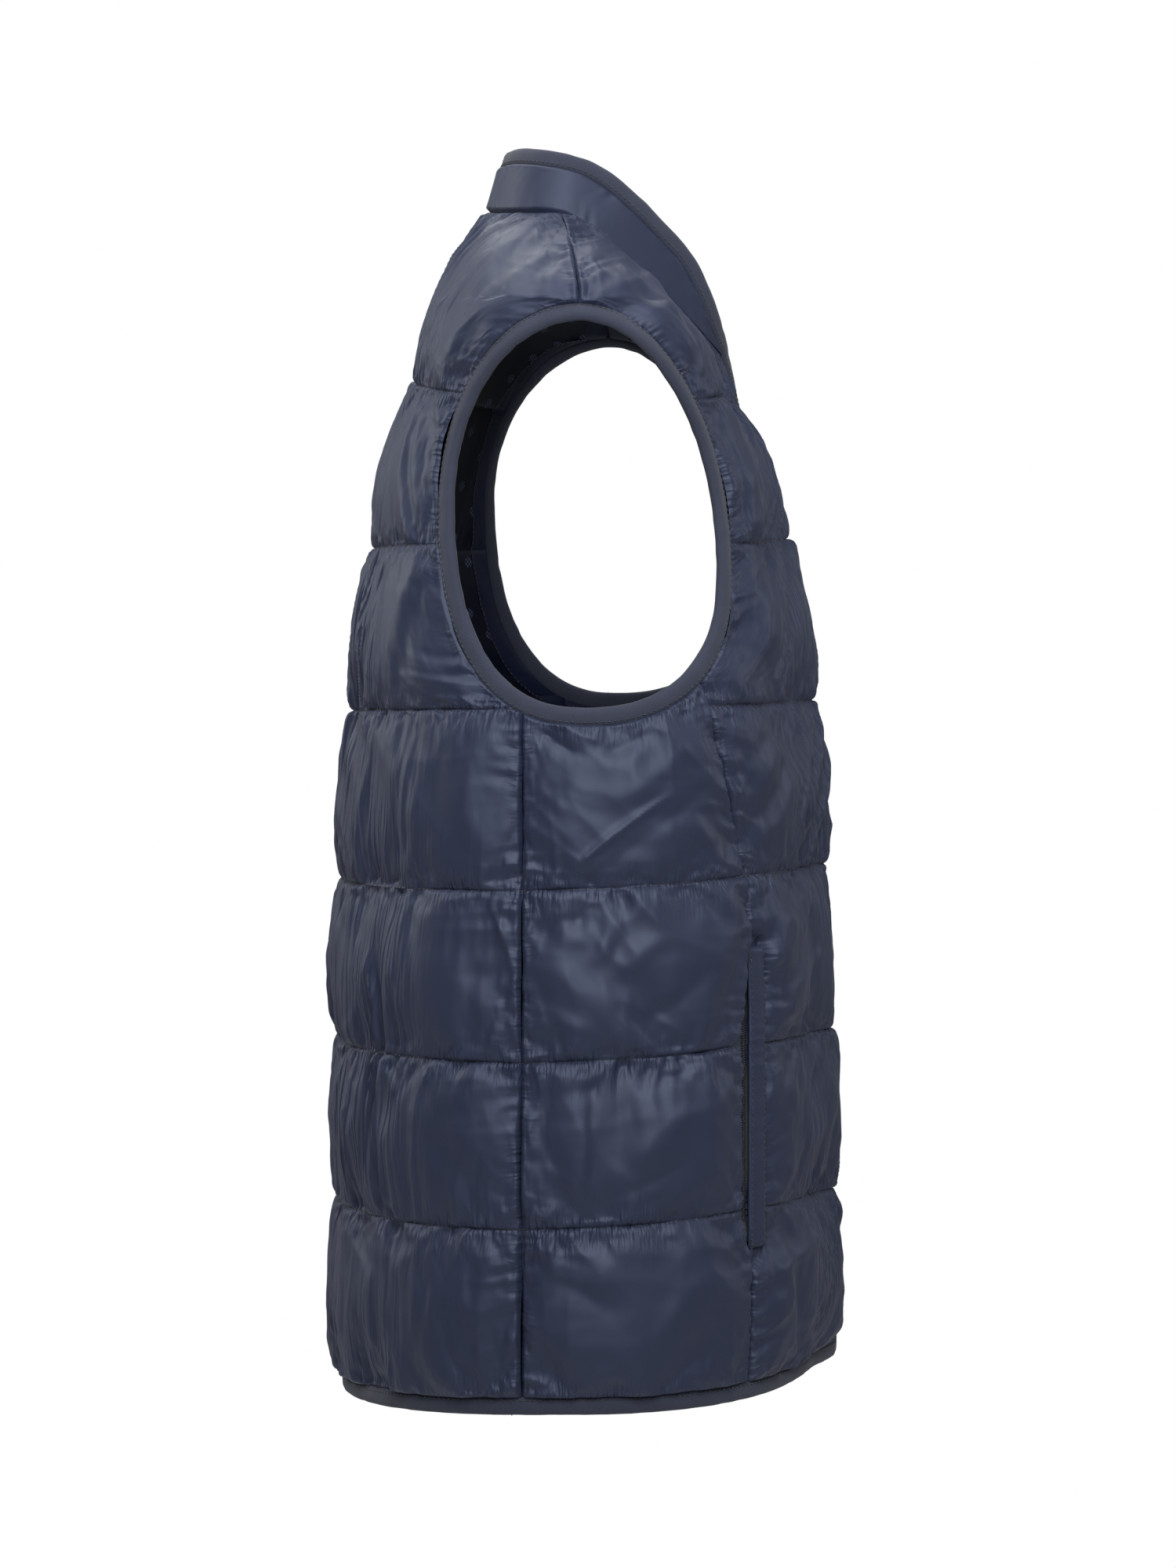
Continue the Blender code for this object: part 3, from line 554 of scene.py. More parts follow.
def quilted_profile(panel, sizes):
    """Height of the padded cloth above the shared surface before its folds, and how free the cloth is."""
    rows = np.arange(panel.up.shape[0])[:, None]
    start = from_seam(panel)
    end = panel.end
    top = panel.up[-1:] - panel.up
    puff = held_down(panel.low, sizes.line_share, 0.26, 0.004, sizes.puff_reach)
    above = held_down(panel.high, sizes.line_share, 0.26, 0.004, sizes.puff_reach)
    if panel.name.startswith("side"):
        puff = puff * above
        shoulder = np.zeros_like(rows)
    else:
        in_yoke = rows >= panel.stitched[-2]
        at_neck = held_down(top, 0.28, 0.10, 0.004, 0.13)
        puff = puff * np.where(in_yoke, at_neck, above)
        shoulder = smooth((rows - panel.arm_rows[1] + 2) / 8.0)
    if panel.name.startswith("front"):
        end = np.maximum(end - PLACKET, 0.0)
        in_v = smooth((panel.points[:, :1, 2] + 0.10) / 0.03)
        at_placket = held_down(end, 0.34, 0.4, 0.007, 0.030)
        puff = puff * (at_placket + (held_down(panel.end, 0.30, 0.0, 0.007, 0.14) - at_placket) * in_v)
    else:
        at_end = held_down(end, sizes.seam_share, 0.5, 0.005, 0.028)
        if panel.name == "back":
            at_armhole = held_down(end, 0.36, 0.10, 0.004, 0.032)
            at_end = at_end + (at_armhole - at_end) * smooth((rows - panel.arm_rows[0] + 4) / 12.0)
        puff = puff * at_end
    at_seam = held_down(start, sizes.seam_share, 0.5, 0.005, 0.028)
    if not panel.name.startswith("side"):
        at_armhole = held_down(start, 0.36, 0.10, 0.004, 0.032)
        at_seam = at_seam + (at_armhole - at_seam) * smooth((rows - panel.arm_rows[0] + 4) / 12.0)
    if panel.name != "back":
        at_welt = held_down(start, 0.16, 0.5, 0.005, 0.030)
        at_seam = at_seam + (at_welt - at_seam) * by_pocket(panel, 0.004, 0.02)
    puff = puff * (at_seam + (held_down(start, 0.72, 0.6, 0.004, 0.03) - at_seam) * shoulder)
    height = sizes.crown * puff
    free = np.prod([rise(away, 0.005) for away in (panel.low, panel.high, start, end)], axis=0)
    edge = np.minimum(np.minimum(panel.start, panel.end), np.minimum(panel.up, top))
    turned = 0.0020 + 0.0032 * shoulder
    over = np.maximum(height - turned, 0.0)
    return height - over * (1 - smooth(edge / (0.0014 - 0.0005 * shoulder))), free


def full_middles(panel, reach):
    """1 in the middle of a panel's cells, falling to 0 at their stitching and at the panel's sides."""
    cells = rise(panel.low, 0.03) * rise(panel.high, 0.03)
    return cells * rise(panel.start, reach) * rise(panel.end, reach)


def billowed(panel, sizes, seed):
    """Cloth fuller than its panel, held along its stitching and blown out: its moves out and along."""
    shape = panel.points.shape[:2]
    uneven = np.random.default_rng(seed).normal(0.0, 0.0002, shape)
    height = 0.002 + 0.007 * full_middles(panel, 0.025) + uneven
    normal = panel.normal[::4, ::3]
    points = panel.points[::4, ::3] + normal * height[::4, ::3, None]
    rows, columns = points.shape[:2]
    mesh = sheet_mesh("billowed", points, normal, np.zeros((rows, columns, 2)))
    cloth = bpy.data.objects.new("billowed", mesh)
    scene = bpy.context.scene
    scene.collection.objects.link(cloth)
    held = np.zeros((rows, columns), bool)
    held[np.array(panel.stitched) // 4] = True
    held[:, [0, -1]] = True
    group = cloth.vertex_groups.new(name="held")
    group.add(np.flatnonzero(held).tolist(), 1.0, "REPLACE")
    modifier = cloth.modifiers.new("Cloth", "CLOTH")
    settings = modifier.settings
    settings.quality = 5
    settings.bending_stiffness = 0.02
    settings.vertex_group_mass = "held"
    settings.shrink_min = -sizes.fullness
    settings.use_pressure = True
    settings.uniform_pressure_force = sizes.pressure
    settings.effector_weights.gravity = 0.0
    modifier.collision_settings.use_collision = False
    modifier.point_cache.frame_end = 20
    for number in range(1, 21):
        scene.frame_set(number)
    blown = cloth.evaluated_get(bpy.context.evaluated_depsgraph_get())
    ended = np.empty(rows * columns * 3)
    blown.data.vertices.foreach_get("co", ended)
    moved = ended.reshape(rows, columns, 3) - points
    scene.frame_set(1)
    bpy.data.objects.remove(cloth)
    bpy.data.meshes.remove(mesh)
    out = np.sum(moved * normal, axis=2)
    along = moved - normal * out[..., None]
    return finer(out - blurred(out, 1, 6.0), shape), finer(along, shape)


def gathers(along, away, seed):
    """Puckers beside stitching, in metres: long and low ones, and short crisp ones close to the thread."""
    bent = along + 0.004 * noise(along / 0.03, away / 0.02, seed)
    uneven = 0.75 + 0.65 * noise(along / 0.03, away / 0.2, seed + 1)
    fine = 0.0011 * ridges(bent / 0.0036, away / 0.016, seed + 2) * np.exp(-away / 0.0065)
    middle = 0.0014 * ridges(bent / 0.0072, away / 0.034, seed + 3) * np.exp(-away / 0.014)
    broad = 0.0012 * ridges(bent / 0.017, away / 0.08, seed + 4) * np.exp(-away / 0.045)
    return (fine + middle + broad) * uneven * (0.45 + 0.55 * smooth(away / 0.003))


def puckered(panel, seed):
    """Every stitched line's gathers on one panel."""
    total = np.zeros_like(panel.up)
    for number, (bottom, top) in enumerate(zip(panel.stitched, panel.stitched[1:])):
        cell = slice(bottom, top + 1)
        total[cell] += gathers(panel.along[cell], panel.low[cell], seed + 20 * number)
        total[cell] += gathers(panel.along[cell], panel.high[cell], seed + 20 * number + 10)
    inset = smooth(np.minimum(panel.low, panel.high) / 0.006)
    total += gathers(panel.up, from_seam(panel), seed + 401) * inset
    total += gathers(panel.up, panel.end, seed + 411) * inset
    return total


def upright_share(panel, seed):
    """How strongly a panel's long folds show at each point: unevenly, and away from the side seams."""
    if panel.name.startswith("side"):
        return np.zeros_like(panel.up)
    uneven = np.clip(0.75 + 0.9 * noise(panel.along / 0.05, panel.up / 0.07, seed), 0.1, 1.5)
    edge = np.minimum(panel.start, panel.end) if panel.name == "back" else panel.start
    return uneven * smooth((edge - 0.035) / 0.06)


def long_folds(panel, seed):
    """Folds that run up through the cells, away from the side seams, and slack that leans across them."""
    bent = panel.along + 0.006 * noise(panel.along / 0.05, panel.up / 0.05, seed)
    depth, loose = 0.0021, 0.8
    if panel.name.startswith("front"):
        bent = bent - 0.6 * panel.up
        depth, loose = 0.0015, 1.3
    crisp = ridges(bent / 0.0078, panel.up / 0.09, seed + 1)
    broad = ridges(bent / 0.019, panel.up / 0.11, seed + 2)
    lean = 0.7 * panel.along + 0.7 * panel.up
    rest = 0.7 * panel.up - 0.7 * panel.along
    rest = rest + 0.010 * noise(lean / 0.06, rest / 0.04, seed + 6)
    shown = np.clip(0.4 + noise(lean / 0.06, rest / 0.05, seed + 7), 0.0, 1.0)
    slack = 0.0013 * noise(lean / 0.050, rest / 0.021, seed + 4)
    slack = slack + 0.0011 * ridges(lean / 0.045, rest / 0.013, seed + 5) * shown
    upright = upright_share(panel, seed + 3)
    return (depth * crisp + 0.0012 * broad) * upright + loose * slack * (1 - 0.4 * upright)


# Single creases of the side panel and fronts, in side view, crests and troughs.
# Columns: y and z where it starts, y and z where it ends, half width, height, bend.
SIDE_CREASES = (
    (0.002, -0.3219, -0.0552, -0.2749, 0.0019, 0.0021, 0.002),
    (-0.008, -0.3275, -0.0600, -0.2830, 0.0060, -0.0010, 0.002),
    (0.0204, -0.2381, -0.0102, -0.2597, 0.0040, -0.0022, -0.003),
    (0.0150, -0.2350, -0.0200, -0.2520, 0.0035, 0.0012, -0.002),
    (-0.0634, -0.2422, -0.0204, -0.2851, 0.0080, 0.0022, 0.004),
    (-0.0460, -0.2420, -0.0123, -0.2585, 0.0060, -0.0020, 0.003),
    (-0.0700, -0.2700, -0.0420, -0.2960, 0.0050, -0.0014, 0.002),
    (0.0245, -0.2974, -0.0041, -0.2728, 0.0070, -0.0013, 0.003),
    (0.0200, -0.2700, -0.0020, -0.2880, 0.0050, 0.0011, -0.002),
    (0.0204, -0.3550, -0.0164, -0.3403, 0.0060, -0.0014, 0.002),
    (-0.0532, -0.3505, -0.0204, -0.3792, 0.0070, 0.0016, -0.004),
    (-0.0700, -0.3650, -0.0350, -0.3980, 0.0060, -0.0013, 0.003),
    (0.0180, -0.3850, -0.0150, -0.4020, 0.0070, 0.0012, -0.002),
    (0.0150, -0.4420, -0.0250, -0.4290, 0.0070, -0.0013, 0.003),
    (-0.0650, -0.4400, -0.0300, -0.4750, 0.0065, 0.0014, -0.003),
    (-0.0600, -0.4650, -0.0200, -0.4880, 0.0055, -0.0012, 0.003),
    (0.0180, -0.4700, -0.0100, -0.4880, 0.0060, 0.0012, 0.002),
    (0.0100, -0.5300, -0.0300, -0.5550, 0.0070, -0.0012, 0.003),
    (-0.0700, -0.5250, -0.0400, -0.5700, 0.0065, 0.0013, -0.003),
)
FRONT_CREASES = (
    (-0.0980, -0.2500, -0.0800, -0.2940, 0.0050, 0.0018, 0.002),
    (-0.1030, -0.2560, -0.0850, -0.3050, 0.0045, -0.0014, 0.002),
    (-0.0760, -0.2450, -0.0880, -0.2900, 0.0040, -0.0012, 0.002),
    (-0.1080, -0.3450, -0.0950, -0.3800, 0.0050, 0.0015, -0.002),
    (-0.1100, -0.3550, -0.0990, -0.4000, 0.0045, -0.0012, 0.002),
    (-0.1050, -0.4300, -0.1150, -0.4800, 0.0050, 0.0014, 0.002),
    (-0.1130, -0.5150, -0.1000, -0.5650, 0.0055, 0.0014, -0.002),
    (-0.0850, -0.1650, -0.0980, -0.2150, 0.0050, 0.0016, 0.003),
    (-0.0780, -0.1800, -0.0850, -0.2200, 0.0040, -0.0014, 0.002),
    (-0.0560, -0.0900, -0.0850, -0.1250, 0.0060, 0.0016, 0.003),
    (-0.0895, -0.2574, -0.0722, -0.2946, 0.0040, 0.0016, 0.002),
    (-0.1081, -0.2574, -0.0855, -0.3185, 0.0045, 0.0016, 0.003),
    (-0.1054, -0.3371, -0.0935, -0.3743, 0.0040, 0.0017, 0.002),
    (-0.1214, -0.3663, -0.0988, -0.4035, 0.0045, 0.0015, -0.003),
    (-0.1187, -0.4248, -0.0988, -0.4833, 0.0050, -0.0014, 0.003),
    (-0.1028, -0.4194, -0.0935, -0.4460, 0.0040, 0.0015, 0.002),
    (-0.1240, -0.5231, -0.0868, -0.5430, 0.0045, 0.0016, -0.002),
    (-0.1294, -0.5311, -0.1081, -0.5709, 0.0050, 0.0014, 0.003),
    (0.0020, -0.0030, -0.0400, -0.0300, 0.0035, 0.0013, 0.002),
    (-0.0140, -0.0025, -0.0520, -0.0380, 0.0030, 0.0012, 0.002),
    (-0.0180, -0.0120, -0.0560, -0.0460, 0.0030, -0.0011, 0.002),
    (-0.0270, -0.0230, -0.0590, -0.0540, 0.0040, 0.0016, 0.002),
)


def creased(panel, creases):
    """Crests and troughs that run out at both ends, placed in side view."""
    y = panel.points[..., 1]
    z = panel.points[..., 2]
    total = np.zeros_like(y)
    for y_start, z_start, y_end, z_end, width, height, bend in creases:
        length = math.hypot(y_end - y_start, z_end - z_start)
        run_y = (y_end - y_start) / length
        run_z = (z_end - z_start) / length
        part = ((y - y_start) * run_y + (z - z_start) * run_z) / length
        aside = (y - y_start) * run_z - (z - z_start) * run_y - 4 * bend * part * (1 - part)
        ends = smooth(part / 0.3) * smooth((1 - part) / 0.3)
        total += 1.2 * height * ends / (1 + (aside / width) ** 2) ** 1.5
    return total


def quilted_points(panel, sizes, seed, creases):
    """The padded cloth's points: profile, billows, gathers and creases."""
    height, puff = quilted_profile(panel, sizes)
    out, along = billowed(panel, sizes, seed)
    folds = sizes.fold_share * 0.0035 * np.tanh(out / 0.0035)
    folds = folds + sizes.gather_share * puckered(panel, seed) * (0.4 + 0.6 * puff)
    folds = folds + long_folds(panel, seed + 500) * puff
    folds = folds + creased(panel, creases) * puff
    height = np.clip(height + folds, 0.0010, sizes.crown + 0.0032)
    return panel.points + panel.normal * height[..., None] + along * 0.5


def panel_uv(panel):
    return np.stack([panel.along, panel.up], axis=-1)


def collar_rows(columns):
    """Angles of the collar's right half, from its front end to the centre back."""
    return COLLAR_END + (np.pi - COLLAR_END) * np.linspace(0.0, 1.0, columns)


def collar_half(theta, u, offset, lapped):
    theta, u = np.meshgrid(theta, u)
    points = collar_point(theta, u)
    normal = normal_of(collar_point, theta, u, 1.0)
    at_seam = np.clip(1 - u / 0.15, 0.0, 1.0)[..., None]
    normal = unit(normal * (1 - at_seam) + neck_normal(theta) * at_seam)
    lift = lap_rise(points)[..., None] if lapped else 0.0
    return points + normal * offset + FORWARD * lift, normal


def collar_sheet(sizes):
    """The collar's outside, from the neck seam up, then its inside, from the edge down."""
    theta = collar_rows(180)
    rise_up = crowded(25, True)
    u = np.concatenate([rise_up, rise_up[::-1]])
    inside = np.arange(len(u)) >= 25
    pad = smooth(u / 0.10) * smooth((1 - u) / 0.08)
    behind = 1 - smooth((1.75 - theta) / 0.5)
    halves = []
    for lapped in (True, False):
        outside = 0.0014 + sizes.collar_pad * pad[:, None] * (0.25 + 0.75 * behind)
        offset = np.where(inside[:, None], -0.0012 - 0.0008 * pad[:, None], outside)
        points, _ = collar_half(theta, u, 0.0, lapped)
        run = np.zeros_like(offset)
        run[:, 1:] = np.cumsum(np.linalg.norm(np.diff(points, axis=1), axis=2), axis=1)
        away = np.repeat((np.minimum(u, 1 - u) * 0.035)[:, None], len(theta), axis=1)
        drawn = 0.3 * gathers(run, away, 700 + 40 * lapped) * pad[:, None]
        offset = offset + np.where(inside[:, None], -0.5 * drawn, drawn)
        points, normal = collar_half(theta, u, offset[..., None], lapped)
        normal = np.where(inside[:, None, None], -normal, normal)
        if not lapped:
            points = mirrored(points)[:, ::-1][:, 1:]
            normal = mirrored(normal)[:, ::-1][:, 1:]
        halves.append((points, normal))
    points = np.concatenate([halves[0][0], halves[1][0]], axis=1)
    normal = np.concatenate([halves[0][1], halves[1][1]], axis=1)
    return points, normal


# Section of a binding, folded over the cloth's edge.
# Columns: way out from the edge, height above the surface.
BINDING_SECTION = np.array(
    [
        (-0.0012, 0.0012),
        (-0.0006, 0.0024),
        (0.0004, 0.0029),
        (0.0020, 0.0031),
        (0.0044, 0.0032),
        (0.0064, 0.0030),
        (0.0079, 0.0023),
        (0.0088, 0.0010),
        (0.0090, -0.0002),
        (0.0085, -0.0016),
        (0.0072, -0.0026),
        (0.0052, -0.0031),
        (0.0030, -0.0032),
        (0.0012, -0.0030),
        (-0.0006, -0.0020),
    ]
)


def edge_frame(edge, normal, inside):
    """Directions of a closed edge: out of the cloth, and its normal, made square to the path."""
    along = unit(np.roll(edge, -1, axis=0) - np.roll(edge, 1, axis=0))
    normal = unit(normal - along * np.sum(normal * along, axis=1, keepdims=True))
    outward = np.cross(normal, along)
    wrong = np.sum(outward * (edge - inside), axis=1, keepdims=True) < 0
    return edge, np.where(wrong, -outward, outward), normal


def evenly(path, step, closed):
    """A path's points and the values beside them, taken at even steps."""
    if closed:
        path = [np.concatenate([values, values[:1]]) for values in path]
    gaps = np.linalg.norm(np.diff(path[0], axis=0), axis=1)
    length = np.concatenate([[0.0], np.cumsum(gaps)])
    count = max(2, int(length[-1] / step))
    steps = np.arange(count) if closed else np.arange(count) + 0.5
    at = steps * length[-1] / count
    return [np.stack([np.interp(at, length, values[:, k]) for k in range(3)], axis=1) for values in path]


def armhole_path(back, front, side, column):
    low, high = back.arm_rows
    up = np.arange(low, high + 1)
    low, high = front.arm_rows
    down = np.arange(high, low - 1, -1)
    inner = 3 if column == 0 else -4
    pieces = [
        (back.points[up, column], back.normal[up, column], back.points[up, inner]),
        (front.points[down, 0], front.normal[down, 0], front.points[down, 3]),
        (side.points[-1], side.normal[-1], side.points[-4]),
    ]
    return [np.concatenate(values) for values in zip(*pieces)]


def edge_half(back, front, side, right):
    """Half of the long edge's path, from the centre back of the hem to that of the collar."""
    middle = back.points.shape[1] // 2
    hem = np.arange(middle, -1, -1) if right else np.arange(middle, back.points.shape[1])
    across = np.arange(front.points.shape[1])
    inner = np.minimum(across, len(across) - 5)
    rows = np.arange(1, front.points.shape[0])
    pieces = [
        (back.points[0, hem], back.normal[0, hem], back.points[3, hem]),
        (side.points[0, ::-1], side.normal[0, ::-1], side.points[3, ::-1]),
        (front.points[0], front.normal[0], front.points[4, inner]),
        (front.points[rows, -1], front.normal[rows, -1], front.points[rows, -5]),
    ]
    theta = collar_rows(110)
    edge, normal = collar_half(theta, np.array([0.8, 1.0]), 0.0, right)
    if not right:
        edge = mirrored(edge)
        normal = mirrored(normal)
    pieces.append((edge[1], normal[1], edge[0]))
    return [np.concatenate(values) for values in zip(*pieces)]


def softened(values, radius):
    """Values round a closed path, softened by a radius in points."""
    room = int(4 * radius)
    looped = np.concatenate([values[-room:], values, values[:room]])
    return blurred(looped, 0, radius)[room:-room]


def binding_frame(path):
    edge, normal, inside = evenly(path, 0.0024, True)
    return edge_frame(softened(edge, 1.2), softened(normal, 9.0), softened(inside, 1.2))


def binding_mesh(name, path, seed):
    """A stretch binding folded over a closed edge, slightly uneven where its stitching draws it in."""
    edge, outward, normal = (np.concatenate([values, values[:1]]) for values in binding_frame(path))
    run = np.concatenate([[0.0], np.cumsum(np.linalg.norm(np.diff(edge, axis=0), axis=1))])
    out, up = BINDING_SECTION.T
    ends = smooth(np.minimum(run, run[-1] - run) / 0.02)[:, None]
    wave = 0.00022 * noise(run[:, None] / 0.006, np.arange(len(out)) / 3.0, seed) * ends
    out = out + 0.6 * wave
    up = up + np.sign(up) * wave
    points = edge[:, None] + outward[:, None] * out[..., None] + normal[:, None] * up[..., None]
    around = np.concatenate([[0.0], np.cumsum(np.linalg.norm(np.diff(BINDING_SECTION, axis=0), axis=1))])
    uv = np.stack(np.broadcast_arrays(run[:, None], around[None]), axis=-1)
    aside = outward[:, None] * (BINDING_SECTION[:, 0] - 0.003)[:, None]
    facing = aside + normal[:, None] * BINDING_SECTION[:, 1:]
    mesh = sheet_mesh(name, points, facing, uv)
    bm = bmesh.new()
    bm.from_mesh(mesh)
    bmesh.ops.remove_doubles(bm, verts=bm.verts, dist=1e-6)
    bm.to_mesh(mesh)
    bm.free()
    return mesh, run[-1]


def binding_seams(path, joins):
    """Paths of a binding's stitching near its inner edge, and of its join seams near given points."""
    edge, outward, normal = binding_frame(path)
    rows = [[edge + outward * 0.0010 + normal * 0.0032, normal]]
    for join in joins:
        place = np.argmin(np.linalg.norm(edge - np.array(join), axis=1))
        section = BINDING_SECTION[1:9]
        across = edge[place] + outward[place] * section[:, :1] + normal[place] * (section[:, 1:] + 0.0001)
        turned = unit(outward[place] * (section[:, :1] - 0.003) + normal[place] * (section[:, 1:] + 0.002))
        rows.append([across, turned])
    return rows


def stitch_row(path, long, pitch, radius):
    """Threads lying end to end along a path of points and normals."""
    points, normal = evenly(path, pitch, False)
    along = unit(np.gradient(points, axis=0))
    normal = unit(normal - along * np.sum(normal * along, axis=1, keepdims=True))
    aside = np.cross(normal, along)
    bm = bmesh.new()
    for point, run, across, out in zip(points, along * long / 2, aside * radius, normal * radius):
        turn = Matrix(np.stack([run, across, out, point], axis=1).tolist()).to_4x4()
        turn[3] = (0.0, 0.0, 0.0, 1.0)
        bmesh.ops.create_icosphere(bm, subdivisions=1, radius=1.0, matrix=turn)
    return bm


def joined(name, parts):
    """One mesh from several, each freed."""
    whole = bmesh.new()
    for part in parts:
        mesh = bpy.data.meshes.new("part")
        part.to_mesh(mesh)
        part.free()
        whole.from_mesh(mesh)
        bpy.data.meshes.remove(mesh)
    bmesh.ops.recalc_face_normals(whole, faces=whole.faces)
    mesh = bpy.data.meshes.new(name)
    whole.to_mesh(mesh)
    whole.free()
    mesh.shade_smooth()
    return mesh


def beside_seam(panel, rows, distances):
    """Points and normals of a front panel at distances from its side seam, which are negative behind it."""
    points = np.empty((len(rows), len(distances), 3))
    normal = np.empty_like(points)
    for place, row in enumerate(rows):
        start = panel.start[row]
        behind = unit(panel.points[row, 0] - panel.points[row, 2])
        for k in range(3):
            points[place, :, k] = np.interp(distances, start, panel.points[row, :, k])
            normal[place, :, k] = np.interp(distances, start, panel.normal[row, :, k])
        points[place] += behind * np.maximum(-np.asarray(distances), 0.0)[:, None]
    return points, unit(normal)


# Section of a pocket's welt. Columns: distance from the side seam, height above the surface.
WELT_SECTION = np.array(
    [
        (0.0104, 0.0022),
        (0.0010, 0.0024),
        (0.0001, 0.0029),
        (0.0000, 0.0037),
        (0.0005, 0.0044),
        (0.0018, 0.0049),
        (0.0040, 0.0056),
        (0.0066, 0.0064),
        (0.0092, 0.0068),
        (0.0108, 0.0062),
        (0.0118, 0.0044),
        (0.0121, 0.0020),
    ]
)


def pocket_rows(panel, margin):
    z = panel.points[:, 0, 2]
    return np.flatnonzero((z > POCKET_BOTTOM + margin) & (z < POCKET_TOP - margin))


def welt_mesh(name, panel, seed):
    rows = pocket_rows(panel, 0.0)
    points, normal = beside_seam(panel, rows, WELT_SECTION[:, 0])
    run = panel.up[rows, 0] - panel.up[rows[0], 0]
    ends = rise(np.minimum(run, run[-1] - run), 0.003)[:, None]
    height = 0.0024 + (WELT_SECTION[:, 1] - 0.0024) * ends
    away = np.minimum(WELT_SECTION[:, 0], WELT_WIDTH - WELT_SECTION[:, 0])
    height = height + 0.35 * gathers(run[:, None], away[None], seed) * ends * (WELT_SECTION[:, 1] > 0.0033)
    around = np.concatenate([[0.0], np.cumsum(np.linalg.norm(np.diff(WELT_SECTION, axis=0), axis=1))])
    uv = np.stack(np.broadcast_arrays(around[None], run[:, None]), axis=-1)
    facing = normal * (WELT_SECTION[:, 1:] - 0.0042)
    return sheet_mesh(name, points + normal * height[..., None], facing, uv)


def welt_seams(panel):
    """Stitching along both edges of a welt, and the bar tacks across its ends."""
    rows = pocket_rows(panel, 0.003)
    points, normal = beside_seam(panel, rows, [0.0014, 0.0104])
    seams = []
    for k, height in ((0, 0.0048), (1, 0.0065)):
        seams.append([points[:, k] + normal[:, k] * height, normal[:, k]])
    across = np.linspace(-0.0015, 0.0108, 12)
    for row in (rows[0] + 1, rows[-1] - 1):
        for shift in (-1, 0, 1):
            points, normal = beside_seam(panel, [row + shift], across)
            seams.append([points[0] + normal[0] * 0.0048, normal[0]])
    return seams


def facing_seams(panel):
    """Stitching along the plain band inside an armhole."""
    away = from_armhole(panel)
    if panel.name.startswith("side"):
        row = np.argmin(np.abs(away[:, away.shape[1] // 2] - ARMHOLE_BAND))
        return [[panel.inside[row] - panel.normal[row] * 0.0003, -panel.normal[row]]]
    rows = np.arange(panel.arm_rows[0], panel.arm_rows[1] + 1)
    middle = away.shape[1] // 2
    columns = [np.argmin(np.abs(away[rows, :middle] - ARMHOLE_BAND), axis=1)]
    if panel.name == "back":
        columns.append(away.shape[1] - 1 - columns[0])
    seams = []
    for column in columns:
        normal = panel.normal[rows, column]
        seams.append([panel.inside[rows, column] - normal * 0.0003, -normal])
    return seams


def zip_meshes(name, panel):
    """The zip's tape, and its closed coil."""
    rows = pocket_rows(panel, 0.004)
    distances = np.linspace(0.0035, -0.0085, 9)
    points, normal = beside_seam(panel, rows, distances)
    run = panel.up[rows, :1] - panel.up[rows[0], 0]
    uv = np.stack(np.broadcast_arrays(distances[None], run), axis=-1)
    tape = sheet_mesh(name, points + normal * 0.0006, normal, uv)
    gap = pocket_gap(panel.points[rows, 0, 2])
    seen = rows[gap > 0.55 * POCKET_GAP]
    points, normal = beside_seam(panel, seen, [-0.0021])
    middle, facing = evenly([points[:, 0], normal[:, 0]], 0.00065, False)
    along = unit(np.gradient(middle, axis=0))
    aside = np.cross(facing, along)
    bm = bmesh.new()
    for number, (point, run, across, out) in enumerate(zip(middle, along, aside, facing)):
        shift = 0.0007 if number % 2 else -0.0007
        lean = 0.00025 if number % 2 else -0.00025
        centre = point + out * 0.0013 + across * shift
        axes = [across * 0.0013 + run * lean, run * 0.00042, out * 0.0006, centre]
        turn = Matrix(np.stack(axes, axis=1).tolist()).to_4x4()
        turn[3] = (0.0, 0.0, 0.0, 1.0)
        bmesh.ops.create_icosphere(bm, subdivisions=1, radius=1.0, matrix=turn)
    return tape, bm


# Press stud cap. Columns: radius, height.
STUD_PROFILE = (
    (0.0, 0.0019),
    (0.0022, 0.0018),
    (0.0040, 0.0014),
    (0.0044, 0.0015),
    (0.0052, 0.0015),
    (0.0058, 0.0010),
    (0.0060, 0.0003),
    (0.0060, -0.0016),
)


def stud_mesh(name, z):
    t_all = np.linspace(0.0, TOP, 400)
    t = np.interp(z, body_point(0.0, t_all)[:, 2], t_all)
    theta = np.array(math.asin(0.005 / 0.125))
    point = body_point(theta, t)
    normal = body_normal(theta, t)
    foot = point + normal * 0.0036 + FORWARD * lap_rise(point)
    axis = Vector(normal)
    bm = bmesh.new()
    verts = [bm.verts.new((radius, 0.0, height)) for radius, height in STUD_PROFILE]
    edges = [bm.edges.new(pair) for pair in zip(verts, verts[1:])]
    bmesh.ops.spin(
        bm, geom=verts + edges, cent=(0, 0, 0), axis=(0, 0, 1), angle=2 * math.pi, steps=32, use_merge=True
    )
    bmesh.ops.remove_doubles(bm, verts=bm.verts, dist=1e-6)
    turn = Vector((0, 0, 1)).rotation_difference(axis).to_matrix().to_4x4()
    bmesh.ops.transform(bm, matrix=Matrix.Translation(Vector(foot)) @ turn, verts=bm.verts)
    bmesh.ops.recalc_face_normals(bm, faces=bm.faces)
    mesh = bpy.data.meshes.new(name)
    bm.to_mesh(mesh)
    bm.free()
    mesh.shade_smooth()
    facing = sum((Vector(face.normal) * face.area for face in mesh.polygons), Vector())
    if facing.dot(axis) < 0:
        mesh.flip_normals()
    return mesh


# Finishes.
def add_node(tree, kind, **settings):
    node = tree.nodes.new(kind)
    for name, value in settings.items():
        setattr(node, name, value)
    return node


